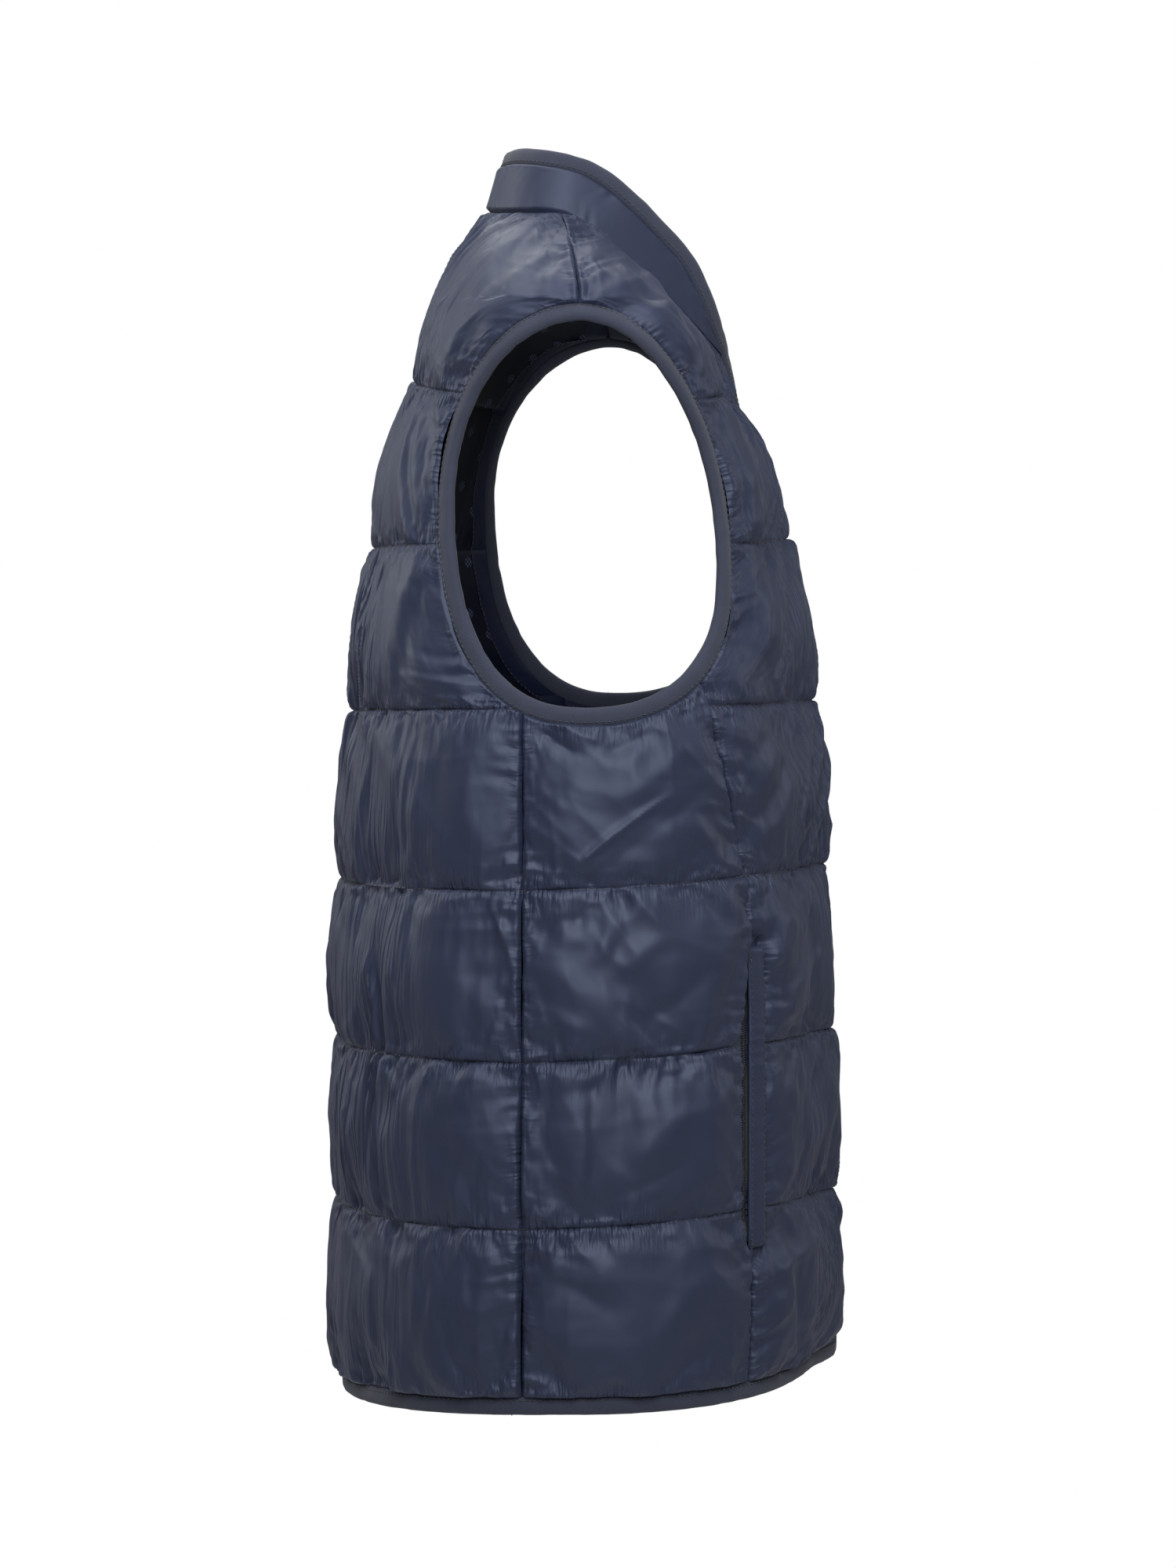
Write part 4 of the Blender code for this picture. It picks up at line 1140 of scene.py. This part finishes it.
def fill(tree, node, values):
    """Sets sockets by name or number, from numbers or from other sockets."""
    for key, value in values.items():
        if isinstance(value, bpy.types.NodeSocket):
            tree.links.new(value, node.inputs[key])
        else:
            node.inputs[key].default_value = value
    return node


def math_node(tree, operation, *values):
    node = add_node(tree, "ShaderNodeMath", operation=operation)
    return fill(tree, node, dict(enumerate(values))).outputs[0]


def mix_colours(tree, share, first, second):
    node = add_node(tree, "ShaderNodeMix", data_type="RGBA")
    fill(tree, node, {"Factor": share, 6: first, 7: second})
    return node.outputs[2]


def noise_of(tree, vector, scale, detail):
    node = add_node(tree, "ShaderNodeTexNoise")
    fill(tree, node, {"Vector": vector, "Scale": scale, "Detail": detail})
    return node.outputs["Fac"]


def bumped(tree, height, strength, distance, before=None):
    node = add_node(tree, "ShaderNodeBump")
    fill(tree, node, {"Height": height, "Strength": strength, "Distance": distance})
    if before is not None:
        tree.links.new(before, node.inputs["Normal"])
    return node.outputs["Normal"]


def plain_weave():
    """A shared pattern: threads over and under each other, as a height, from a UV map in metres."""
    group = bpy.data.node_groups.get("Plain weave")
    if group:
        return group
    group = bpy.data.node_groups.new("Plain weave", "ShaderNodeTree")
    group.interface.new_socket("UV", in_out="INPUT", socket_type="NodeSocketVector")
    group.interface.new_socket("Pitch", in_out="INPUT", socket_type="NodeSocketFloat")
    group.interface.new_socket("Height", in_out="OUTPUT", socket_type="NodeSocketFloat")
    source = add_node(group, "NodeGroupInput")
    split = fill(group, add_node(group, "ShaderNodeSeparateXYZ"), {0: source.outputs["UV"]})
    turns = math_node(group, "DIVIDE", math.tau, source.outputs["Pitch"])
    across = math_node(group, "SINE", math_node(group, "MULTIPLY", split.outputs[0], turns))
    along = math_node(group, "SINE", math_node(group, "MULTIPLY", split.outputs[1], turns))
    woven = math_node(group, "MULTIPLY", across, along)
    ended = add_node(group, "NodeGroupOutput")
    group.links.new(woven, ended.inputs["Height"])
    return group


def woven_height(tree, uv, pitch):
    node = add_node(tree, "ShaderNodeGroup", node_tree=plain_weave())
    fill(tree, node, {"UV": uv, "Pitch": pitch})
    return node.outputs["Height"]


def small_puckers():
    """A shared pattern: small crisp ridges as a height, from a UV map and their spacing in metres."""
    group = bpy.data.node_groups.get("Small puckers")
    if group:
        return group
    group = bpy.data.node_groups.new("Small puckers", "ShaderNodeTree")
    group.interface.new_socket("UV", in_out="INPUT", socket_type="NodeSocketVector")
    group.interface.new_socket("Across", in_out="INPUT", socket_type="NodeSocketFloat")
    group.interface.new_socket("Along", in_out="INPUT", socket_type="NodeSocketFloat")
    group.interface.new_socket("Height", in_out="OUTPUT", socket_type="NodeSocketFloat")
    source = add_node(group, "NodeGroupInput")
    split = fill(group, add_node(group, "ShaderNodeSeparateXYZ"), {0: source.outputs["UV"]})
    across = math_node(group, "DIVIDE", split.outputs[0], source.outputs["Across"])
    along = math_node(group, "DIVIDE", split.outputs[1], source.outputs["Along"])
    place = fill(group, add_node(group, "ShaderNodeCombineXYZ"), {0: across, 1: along})
    uneven = math_node(group, "SUBTRACT", noise_of(group, place.outputs[0], 1.0, 1.0), 0.5)
    ridge = math_node(group, "MULTIPLY_ADD", math_node(group, "ABSOLUTE", uneven), -4.0, 0.5)
    ended = add_node(group, "NodeGroupOutput")
    group.links.new(ridge, ended.inputs["Height"])
    return group


def puckers(tree, uv, across, along, shown, depth):
    """Small puckers' height in metres, as strong as the sheet's kept value says."""
    node = add_node(tree, "ShaderNodeGroup", node_tree=small_puckers())
    fill(tree, node, {"UV": uv, "Across": across, "Along": along})
    share = add_node(tree, "ShaderNodeAttribute", attribute_name=shown).outputs["Fac"]
    return math_node(tree, "MULTIPLY", math_node(tree, "MULTIPLY", node.outputs["Height"], share), depth)


def new_finish(name, colour, roughness, sheen=0.0):
    """A material with its tree, shader and coordinates."""
    material = bpy.data.materials.new(name)
    material.use_nodes = True
    material.diffuse_color = (*colour, 1.0)
    tree = material.node_tree
    shader = tree.nodes["Principled BSDF"]
    shader.inputs["Base Color"].default_value = (*colour, 1.0)
    shader.inputs["Roughness"].default_value = roughness
    shader.inputs["Sheen Weight"].default_value = sheen
    places = add_node(tree, "ShaderNodeTexCoord")
    return material, tree, shader, places


def darker(colour, share):
    return (*(value * share for value in colour), 1.0)


def two_toned(tree, shader, share, colour, low, high):
    """Mixes a darker and a lighter tone of a colour into the shader's base colour."""
    tone = mix_colours(tree, share, darker(colour, low), darker(colour, high))
    tree.links.new(tone, shader.inputs["Base Color"])


def nylon_finish(colour):
    """Downproof nylon: fine plain weave, a soft sheen, and faint crinkles."""
    material, tree, shader, places = new_finish("Outer nylon", colour, 0.55, 0.05)
    shader.inputs["Sheen Roughness"].default_value = 0.4
    shader.inputs["Sheen Tint"].default_value = (0.62, 0.70, 0.95, 1.0)
    shader.inputs["Specular IOR Level"].default_value = 0.45
    shader.inputs["Specular Tint"].default_value = (0.70, 0.79, 1.0, 1.0)
    uv = places.outputs["UV"]
    cloudy = noise_of(tree, places.outputs["Object"], 14.0, 3.0)
    two_toned(tree, shader, cloudy, colour, 0.92, 1.08)
    gloss = fill(
        tree, add_node(tree, "ShaderNodeMapRange"), {"Value": cloudy, "To Min": 0.47, "To Max": 0.58}
    )
    tree.links.new(gloss.outputs["Result"], shader.inputs["Roughness"])
    by_line = puckers(tree, uv, 0.0030, 0.014, "near_line", 0.0013)
    by_seam = puckers(tree, uv, 0.012, 0.0048, "near_seam", 0.0009)
    upright = puckers(tree, uv, 0.0052, 0.075, "upright", 0.0013)
    gathered = math_node(tree, "ADD", math_node(tree, "ADD", by_line, by_seam), upright)
    small = bumped(tree, gathered, 1.0, 1.0)
    crinkle = noise_of(tree, places.outputs["Object"], 260.0, 3.0)
    creases = bumped(tree, crinkle, 0.12, 0.0005, small)
    weave = bumped(tree, woven_height(tree, uv, 0.0006), 0.25, 0.00006, creases)
    tree.links.new(weave, shader.inputs["Normal"])
    return material


def binding_finish(colour):
    """Matte stretch knit: ribs along the strip, and a mixed yarn."""
    material, tree, shader, places = new_finish("Binding knit", colour, 0.9, 0.1)
    shader.inputs["Sheen Roughness"].default_value = 0.5
    shader.inputs["Specular IOR Level"].default_value = 0.25
    yarn = noise_of(tree, places.outputs["Object"], 1500.0, 2.0)
    broad = noise_of(tree, places.outputs["Object"], 60.0, 2.0)
    mixed = math_node(tree, "MULTIPLY_ADD", broad, 0.4, math_node(tree, "MULTIPLY", yarn, 0.8))
    two_toned(tree, shader, mixed, colour, 0.72, 1.3)
    ribs = woven_height(tree, places.outputs["UV"], 0.0013)
    knit = math_node(tree, "ADD", ribs, yarn)
    tree.links.new(bumped(tree, knit, 0.5, 0.00015), shader.inputs["Normal"])
    return material


def lining_finish(colour, dot_colour):
    """Smooth dark taffeta with a sparse print of dot clusters, and a plain band along the armholes."""
    material, tree, shader, places = new_finish("Lining taffeta", colour, 0.5)
    shader.inputs["Specular IOR Level"].default_value = 0.1
    shader.inputs["Specular Tint"].default_value = (0.70, 0.79, 1.0, 1.0)
    turned = add_node(tree, "ShaderNodeMapping")
    fill(tree, turned, {"Vector": places.outputs["UV"], "Rotation": (0.0, 0.0, 0.6)})
    masks = []
    for scale, reach in ((1 / 0.0019, 0.34), (1 / 0.023, 0.14)):
        spots = add_node(tree, "ShaderNodeTexVoronoi", voronoi_dimensions="2D")
        fill(tree, spots, {"Vector": turned.outputs["Vector"], "Scale": scale, "Randomness": 0.0})
        masks.append(math_node(tree, "LESS_THAN", spots.outputs["Distance"], reach))
    print_mask = math_node(tree, "MULTIPLY", *masks)
    cloudy = noise_of(tree, places.outputs["Object"], 20.0, 2.0)
    ground = mix_colours(tree, cloudy, darker(colour, 0.85), darker(colour, 1.15))
    printed = mix_colours(tree, print_mask, ground, (*dot_colour, 1.0))
    from_edge = add_node(tree, "ShaderNodeAttribute", attribute_name="band").outputs["Fac"]
    in_band = math_node(tree, "LESS_THAN", from_edge, ARMHOLE_BAND)
    tree.links.new(mix_colours(tree, in_band, printed, darker(colour, 2.6)), shader.inputs["Base Color"])
    weave = bumped(tree, woven_height(tree, places.outputs["UV"], 0.0006), 0.25, 0.00006)
    tree.links.new(weave, shader.inputs["Normal"])
    return material


def thread_finish(colour):
    """Twisted sewing thread."""
    material, tree, shader, places = new_finish("Thread", colour, 0.6, 0.2)
    twist = noise_of(tree, places.outputs["Object"], 2500.0, 1.0)
    two_toned(tree, shader, twist, colour, 0.7, 1.3)
    tree.links.new(bumped(tree, twist, 0.4, 0.0001), shader.inputs["Normal"])
    return material


def tape_finish(colour):
    """Woven zip tape."""
    material, tree, shader, places = new_finish("Zip tape", colour, 0.8, 0.2)
    weave = woven_height(tree, places.outputs["UV"], 0.0009)
    tree.links.new(bumped(tree, weave, 0.6, 0.0001), shader.inputs["Normal"])
    grain = noise_of(tree, places.outputs["Object"], 900.0, 2.0)
    two_toned(tree, shader, grain, colour, 0.75, 1.2)
    return material


def coil_finish(colour, name):
    """Moulded or drawn nylon, slightly and unevenly worn."""
    material, tree, shader, places = new_finish(name, colour, 0.35)
    worn = noise_of(tree, places.outputs["Object"], 700.0, 3.0)
    two_toned(tree, shader, worn, colour, 0.8, 1.25)
    gloss = fill(tree, add_node(tree, "ShaderNodeMapRange"), {"Value": worn, "To Min": 0.25, "To Max": 0.5})
    tree.links.new(gloss.outputs["Result"], shader.inputs["Roughness"])
    tree.links.new(bumped(tree, worn, 0.15, 0.0001), shader.inputs["Normal"])
    return material


def finish(name):
    """One of the vest's finishes, made on first use."""
    found = bpy.data.materials.get(name)
    if found:
        return found
    colours = bpy.context.scene.vest_colours
    if name == "Outer nylon":
        return nylon_finish(colours.outer)
    if name == "Binding knit":
        return binding_finish(colours.binding)
    if name == "Lining taffeta":
        return lining_finish(colours.lining, colours.print)
    if name == "Thread":
        return thread_finish(colours.thread)
    if name == "Zip tape":
        return tape_finish(colours.tape)
    if name == "Zip coil":
        return coil_finish(colours.coil, name)
    return coil_finish(colours.stud, "Stud cap")


def length_property(name, description, default):
    return bpy.props.FloatProperty(name=name, description=description, default=default, unit="LENGTH")


def share_property(name, description, default):
    return bpy.props.FloatProperty(name=name, description=description, default=default, subtype="FACTOR")


def angle_property(name, description, default):
    return bpy.props.FloatProperty(name=name, description=description, default=default, unit="ROTATION")


def colour_property(name, description, default):
    return bpy.props.FloatVectorProperty(
        name=name, description=description, default=default, size=3, min=0.0, max=1.0, subtype="COLOR"
    )


class VestSizes(bpy.types.PropertyGroup):
    """Sizes of the padding, folds and stitching."""

    crown: length_property("Crown", "Height of a padded cell's middle", 0.0106)
    line_share: share_property("Line share", "Share of the puff left at a quilting line", 0.42)
    seam_share: share_property("Seam share", "Share of the puff left at a seam", 0.34)
    puff_reach: length_property("Puff reach", "How far from its stitching a cell is full", 0.044)
    collar_pad: length_property("Collar pad", "Padding of the collar's middle", 0.0032)
    fullness: share_property("Fullness", "Spare cloth in the panels, as a share", 0.06)
    pressure: bpy.props.FloatProperty(
        name="Pressure", description="How hard the padding pushes the cloth out", default=3.0
    )
    fold_share: share_property("Folds", "How much of the billowing cloth's folds shows", 0.8)
    gather_share: share_property("Gathers", "Depth of the puckers beside stitching", 1.0)
    stitch_long: length_property("Stitch", "Length of one stitch", 0.0026)
    stitch_pitch: length_property("Stitch pitch", "Distance from stitch to stitch", 0.0032)
    thread_radius: length_property("Thread radius", "Half the thread's thickness", 0.00028)


class VestColours(bpy.types.PropertyGroup):
    """Colours of the vest's materials."""

    outer: colour_property("Outer cloth", "Nylon of panels, collar and welts", (0.0155, 0.0195, 0.042))
    binding: colour_property("Binding", "Stretch binding of all edges", (0.0265, 0.031, 0.051))
    lining: colour_property("Lining", "Ground of the lining", (0.0022, 0.0031, 0.0090))
    print: colour_property("Print", "Dots on the lining", (0.050, 0.070, 0.130))
    thread: colour_property("Thread", "Sewing thread", (0.012, 0.014, 0.026))
    tape: colour_property("Tape", "Tape of the pocket zips", (0.012, 0.014, 0.022))
    coil: colour_property("Coil", "Coil of the pocket zips", (0.022, 0.025, 0.036))
    stud: colour_property("Stud", "Caps of the press studs", (0.024, 0.029, 0.052))


class VestStage(bpy.types.PropertyGroup):
    """The camera and the light."""

    distance: length_property("Distance", "From the camera to the vest's middle", 3.0)
    turn: angle_property("Turn", "How far the camera stands round to the front", math.radians(3))
    eye_height: length_property("Eye height", "Height of the camera", -0.1665)
    aim_height: length_property("Aim height", "Height that the camera looks at", -0.28)
    lens: bpy.props.FloatProperty(
        name="Lens", description="Focal length in millimetres", default=123.66
    )
    floor_height: length_property("Floor", "Height of the floor under the shoulders", -1.4)
    daylight: bpy.props.FloatProperty(
        name="Room light", description="Strength of the even light from all round", default=0.14
    )


PANELS = {}


def vest_panels():
    """The five quilted panels' points, worked out once."""
    if not PANELS:
        front = front_rows()
        side = side_rows()
        PANELS["back"] = Panel("back", back_rows(), across=True)
        PANELS["front_right"] = Panel("front_right", front, lapped=True)
        PANELS["front_left"] = Panel("front_left", front, left=True)
        PANELS["side_right"] = Panel("side_right", side)
        PANELS["side_left"] = Panel("side_left", side, left=True)
    return PANELS


def from_armhole(panel):
    """Distance of a panel's points from its armhole edge."""
    rows = np.arange(panel.up.shape[0])[:, None]
    if panel.name.startswith("side"):
        return panel.up[-1:] - panel.up
    low, high = panel.arm_rows
    past = np.maximum(np.maximum(low - rows, rows - high), 0) * ROW_STEP
    edge = np.minimum(panel.start, panel.end) if panel.name == "back" else panel.start
    return np.hypot(edge, past)


def binding_paths():
    """The closed edge under each binding."""
    panels = vest_panels()
    back = panels["back"]
    right = edge_half(back, panels["front_right"], panels["side_right"], True)
    left = edge_half(back, panels["front_left"], panels["side_left"], False)
    return {
        "binding_armhole_right": armhole_path(back, panels["front_right"], panels["side_right"], 0),
        "binding_armhole_left": armhole_path(back, panels["front_left"], panels["side_left"], -1),
        "binding_edge": [np.concatenate([one, two[::-1]]) for one, two in zip(right, left)],
    }


class VEST_OT_quilting(bpy.types.Operator):
    """Sews the five padded panels"""

    bl_idname = "vest.quilting"
    bl_label = "Quilted panels"

    def execute(self, context):
        sizes = context.scene.vest_sizes
        creases = {"side": SIDE_CREASES, "front": FRONT_CREASES}
        for number, (name, panel) in enumerate(vest_panels().items()):
            seed = 1000 * (number + 1)
            panel.cloth = quilted_points(panel, sizes, seed, creases.get(name.split("_")[0], ()))
            mesh = sheet_mesh("outer_" + name, panel.cloth, panel.normal, panel_uv(panel))
            by_line = np.exp(-np.minimum(panel.low, panel.high) / 0.006)
            by_seam = np.exp(-np.minimum(from_seam(panel), panel.end) / 0.0035)
            uneven = np.clip(0.8 + 0.7 * noise(panel.along / 0.02, panel.up / 0.09, seed), 0.2, 1.3)
            mark(mesh, "near_line", by_line * uneven)
            uneven = np.clip(0.7 + 0.9 * noise(panel.up / 0.013, panel.along, seed), 0.1, 1.3)
            mark(mesh, "near_seam", by_seam * uneven)
            mark(mesh, "upright", upright_share(panel, seed + 503))
            piece = dress(mesh, finish("Outer nylon"), [name])
        return {"FINISHED"}


class VEST_OT_collar(bpy.types.Operator):
    """Sews the padded stand collar"""

    bl_idname = "vest.collar"
    bl_label = "Collar"

    def execute(self, context):
        points, normal = collar_sheet(context.scene.vest_sizes)
        run = np.zeros(points.shape[:2])
        run[:, 1:] = np.cumsum(np.linalg.norm(np.diff(points, axis=1), axis=2), axis=1)
        up = np.zeros(points.shape[:2])
        up[1:] = np.cumsum(np.linalg.norm(np.diff(points, axis=0), axis=2), axis=0)
        mesh = sheet_mesh("outer_collar", points, normal, np.stack([run, up], axis=-1))
        piece = dress(mesh, finish("Outer nylon"), ["collar"])
        return {"FINISHED"}


class VEST_OT_lining(bpy.types.Operator):
    """Lines the panels"""

    bl_idname = "vest.lining"
    bl_label = "Lining"

    def execute(self, context):
        for number, (name, panel) in enumerate(vest_panels().items()):
            puff = full_middles(panel, 0.02)
            depth = 0.0022 + 0.0030 * puff + 0.5 * puckered(panel, 5000 + 100 * number) * puff
            panel.inside = panel.points - panel.normal * depth[..., None]
            points = panel.inside[::2, ::2]
            mesh = sheet_mesh("inner_" + name, points, -panel.normal[::2, ::2], panel_uv(panel)[::2, ::2])
            mark(mesh, "band", from_armhole(panel)[::2, ::2])
            piece = dress(mesh, finish("Lining taffeta"), ["lining_" + name])
        return {"FINISHED"}


class VEST_OT_bindings(bpy.types.Operator):
    """Folds the stretch bindings over armholes and edges"""

    bl_idname = "vest.bindings"
    bl_label = "Bindings"

    def execute(self, context):
        for number, (name, path) in enumerate(binding_paths().items()):
            mesh, length = binding_mesh("trim_" + name, path, 60 + number)
            piece = dress(mesh, finish("Binding knit"), [name])
        return {"FINISHED"}


class VEST_OT_pockets(bpy.types.Operator):
    """Fits welts and zips to the side pockets"""

    bl_idname = "vest.pockets"
    bl_label = "Pockets"

    def execute(self, context):
        for number, side in enumerate(("right", "left")):
            panel = vest_panels()["front_" + side]
            mesh = welt_mesh("pocket_welt_" + side, panel, 90 + number)
            welt = dress(mesh, finish("Outer nylon"), ["welt_" + side])
            tape, coil = zip_meshes("zip_tape_" + side, panel)
            ribbon = dress(tape, finish("Zip tape"), ["zip_" + side])
            dress(joined("zip_coil_" + side, [coil]), finish("Zip coil"), [])
        return {"FINISHED"}


class VEST_OT_studs(bpy.types.Operator):
    """Sets the press stud caps on the front lap"""

    bl_idname = "vest.studs"
    bl_label = "Press studs"

    def execute(self, context):
        for number, z in enumerate(STUD_HEIGHTS, 1):
            name = "stud_" + str(number)
            dress(stud_mesh("cap_" + name, z), finish("Stud cap"), [name])
        return {"FINISHED"}


class VEST_OT_stitching(bpy.types.Operator):
    """Runs the stitching along quilting lines, bindings and welts"""

    bl_idname = "vest.stitching"
    bl_label = "Stitching"

    def execute(self, context):
        sizes = context.scene.vest_sizes
        panels = vest_panels()
        quilting = []
        for panel in panels.values():
            for row in panel.stitched[1:-1]:
                quilting.append([panel.cloth[row] + panel.normal[row] * 0.0002, panel.normal[row]])
        trims = []
        paths = binding_paths()
        trims += binding_seams(paths["binding_armhole_right"], [(-0.18, -0.002, -0.24)])
        trims += binding_seams(paths["binding_armhole_left"], [(0.18, -0.002, -0.24)])
        trims += binding_seams(paths["binding_edge"], [(-0.19, 0.028, -0.60), (0.19, 0.028, -0.60)])
        pockets = []
        for side in ("right", "left"):
            pockets += welt_seams(panels["front_" + side])
        facing = []
        for panel in panels.values():
            facing += facing_seams(panel)
        seams = {"quilting": quilting, "trims": trims, "pockets": pockets, "facing": facing}
        stitch = (sizes.stitch_long, sizes.stitch_pitch, sizes.thread_radius)
        for name, rows in seams.items():
            threads = [stitch_row(row, *stitch) for row in rows]
            dress(joined("stitching_" + name, threads), finish("Thread"), [])
        return {"FINISHED"}


def soft_light(name, place, aim, size, power):
    light = bpy.data.lights.new(name, "AREA")
    light.shape = "RECTANGLE"
    light.size, light.size_y = size
    light.energy = power
    lamp = bpy.data.objects.new(name, light)
    lamp.location = place
    lamp.rotation_euler = (Vector(aim) - Vector(place)).to_track_quat("-Z", "Y").to_euler()
    bpy.context.scene.collection.objects.link(lamp)


class VEST_OT_stage(bpy.types.Operator):
    """Lays the floor, sets the soft lights and places the camera"""

    bl_idname = "vest.stage"
    bl_label = "Stage"

    def execute(self, context):
        scene = context.scene
        stage = scene.vest_stage
        bm = bmesh.new()
        bmesh.ops.create_circle(bm, cap_ends=True, segments=96, radius=3.4)
        bmesh.ops.translate(bm, vec=(0.0, 0.0, stage.floor_height), verts=bm.verts)
        mesh = bpy.data.meshes.new("floor")
        bm.to_mesh(mesh)
        bm.free()
        pale, tree, shader, places = new_finish("Pale floor", (0.82, 0.82, 0.82), 0.7)
        grain = noise_of(tree, places.outputs["Object"], 3.0, 2.0)
        tint = mix_colours(tree, grain, (0.80, 0.80, 0.80, 1.0), (0.84, 0.84, 0.84, 1.0))
        tree.links.new(tint, shader.inputs["Base Color"])
        mesh.materials.append(pale)
        floor = bpy.data.objects.new("floor", mesh)
        scene.collection.objects.link(floor)
        middle = (0.0, 0.0, stage.aim_height)
        soft_light("Key light", (-1.3, -0.2, 0.4), middle, (0.9, 0.9), 22.0)
        soft_light("Top light", (-0.4, 0.2, 1.5), middle, (1.8, 1.8), 32.0)
        soft_light("Back light", (0.9, 2.3, 0.7), middle, (0.3, 1.6), 22.0)
        soft_light("Front light", (0.45, -2.2, 0.5), middle, (0.25, 0.6), 9.0)
        soft_light("Far light", (1.6, 0.3, 1.5), middle, (1.2, 1.2), 22.0)
        world = bpy.data.worlds.new("Studio")
        world.use_nodes = True
        tree = world.node_tree
        seen = add_node(tree, "ShaderNodeLightPath").outputs["Is Camera Ray"]
        room = math_node(tree, "MULTIPLY_ADD", seen, 1.0 - stage.daylight, stage.daylight)
        fill(tree, tree.nodes["Background"], {"Color": (1.0, 1.0, 1.0, 1.0), "Strength": room})
        scene.world = world
        scene.view_settings.view_transform = "Standard"
        data = bpy.data.cameras.new("Camera")
        data.lens = stage.lens
        data.sensor_width = 36.0
        camera = bpy.data.objects.new("Camera", data)
        x = -stage.distance * math.cos(stage.turn)
        y = -stage.distance * math.sin(stage.turn)
        place = Vector((x, y, stage.eye_height))
        camera.location = place
        camera.rotation_euler = (Vector(middle) - place).to_track_quat("-Z", "Y").to_euler()
        scene.collection.objects.link(camera)
        scene.camera = camera
        return {"FINISHED"}


OPERATORS = (
    VEST_OT_stage,
    VEST_OT_quilting,
    VEST_OT_collar,
    VEST_OT_lining,
    VEST_OT_bindings,
    VEST_OT_pockets,
    VEST_OT_studs,
    VEST_OT_stitching,
)


class VEST_PT_sidebar(bpy.types.Panel):
    """Lists the vest's sizes, colours and pieces"""

    bl_idname = "VEST_PT_sidebar"
    bl_label = "Quilted Vest"
    bl_space_type = "VIEW_3D"
    bl_region_type = "UI"
    bl_category = "Vest"

    def draw(self, context):
        for group in (context.scene.vest_sizes, context.scene.vest_colours, context.scene.vest_stage):
            box = self.layout.box()
            for name in group.bl_rna.properties.keys():
                if name not in ("rna_type", "name"):
                    box.prop(group, name)
        for operator in OPERATORS:
            self.layout.operator(operator.bl_idname)


CLASSES = (VestSizes, VestColours, VestStage, *OPERATORS, VEST_PT_sidebar)


def register():
    for cls in CLASSES:
        bpy.utils.register_class(cls)
    bpy.types.Scene.vest_sizes = bpy.props.PointerProperty(type=VestSizes)
    bpy.types.Scene.vest_colours = bpy.props.PointerProperty(type=VestColours)
    bpy.types.Scene.vest_stage = bpy.props.PointerProperty(type=VestStage)


def unregister():
    del bpy.types.Scene.vest_stage
    del bpy.types.Scene.vest_colours
    del bpy.types.Scene.vest_sizes
    for cls in reversed(CLASSES):
        bpy.utils.unregister_class(cls)


def main():
    register()
    bpy.ops.vest.stage()
    bpy.ops.vest.quilting()
    bpy.ops.vest.collar()
    bpy.ops.vest.lining()
    bpy.ops.vest.bindings()
    bpy.ops.vest.pockets()
    bpy.ops.vest.studs()
    bpy.ops.vest.stitching()


if __name__ == "__main__":
    main()
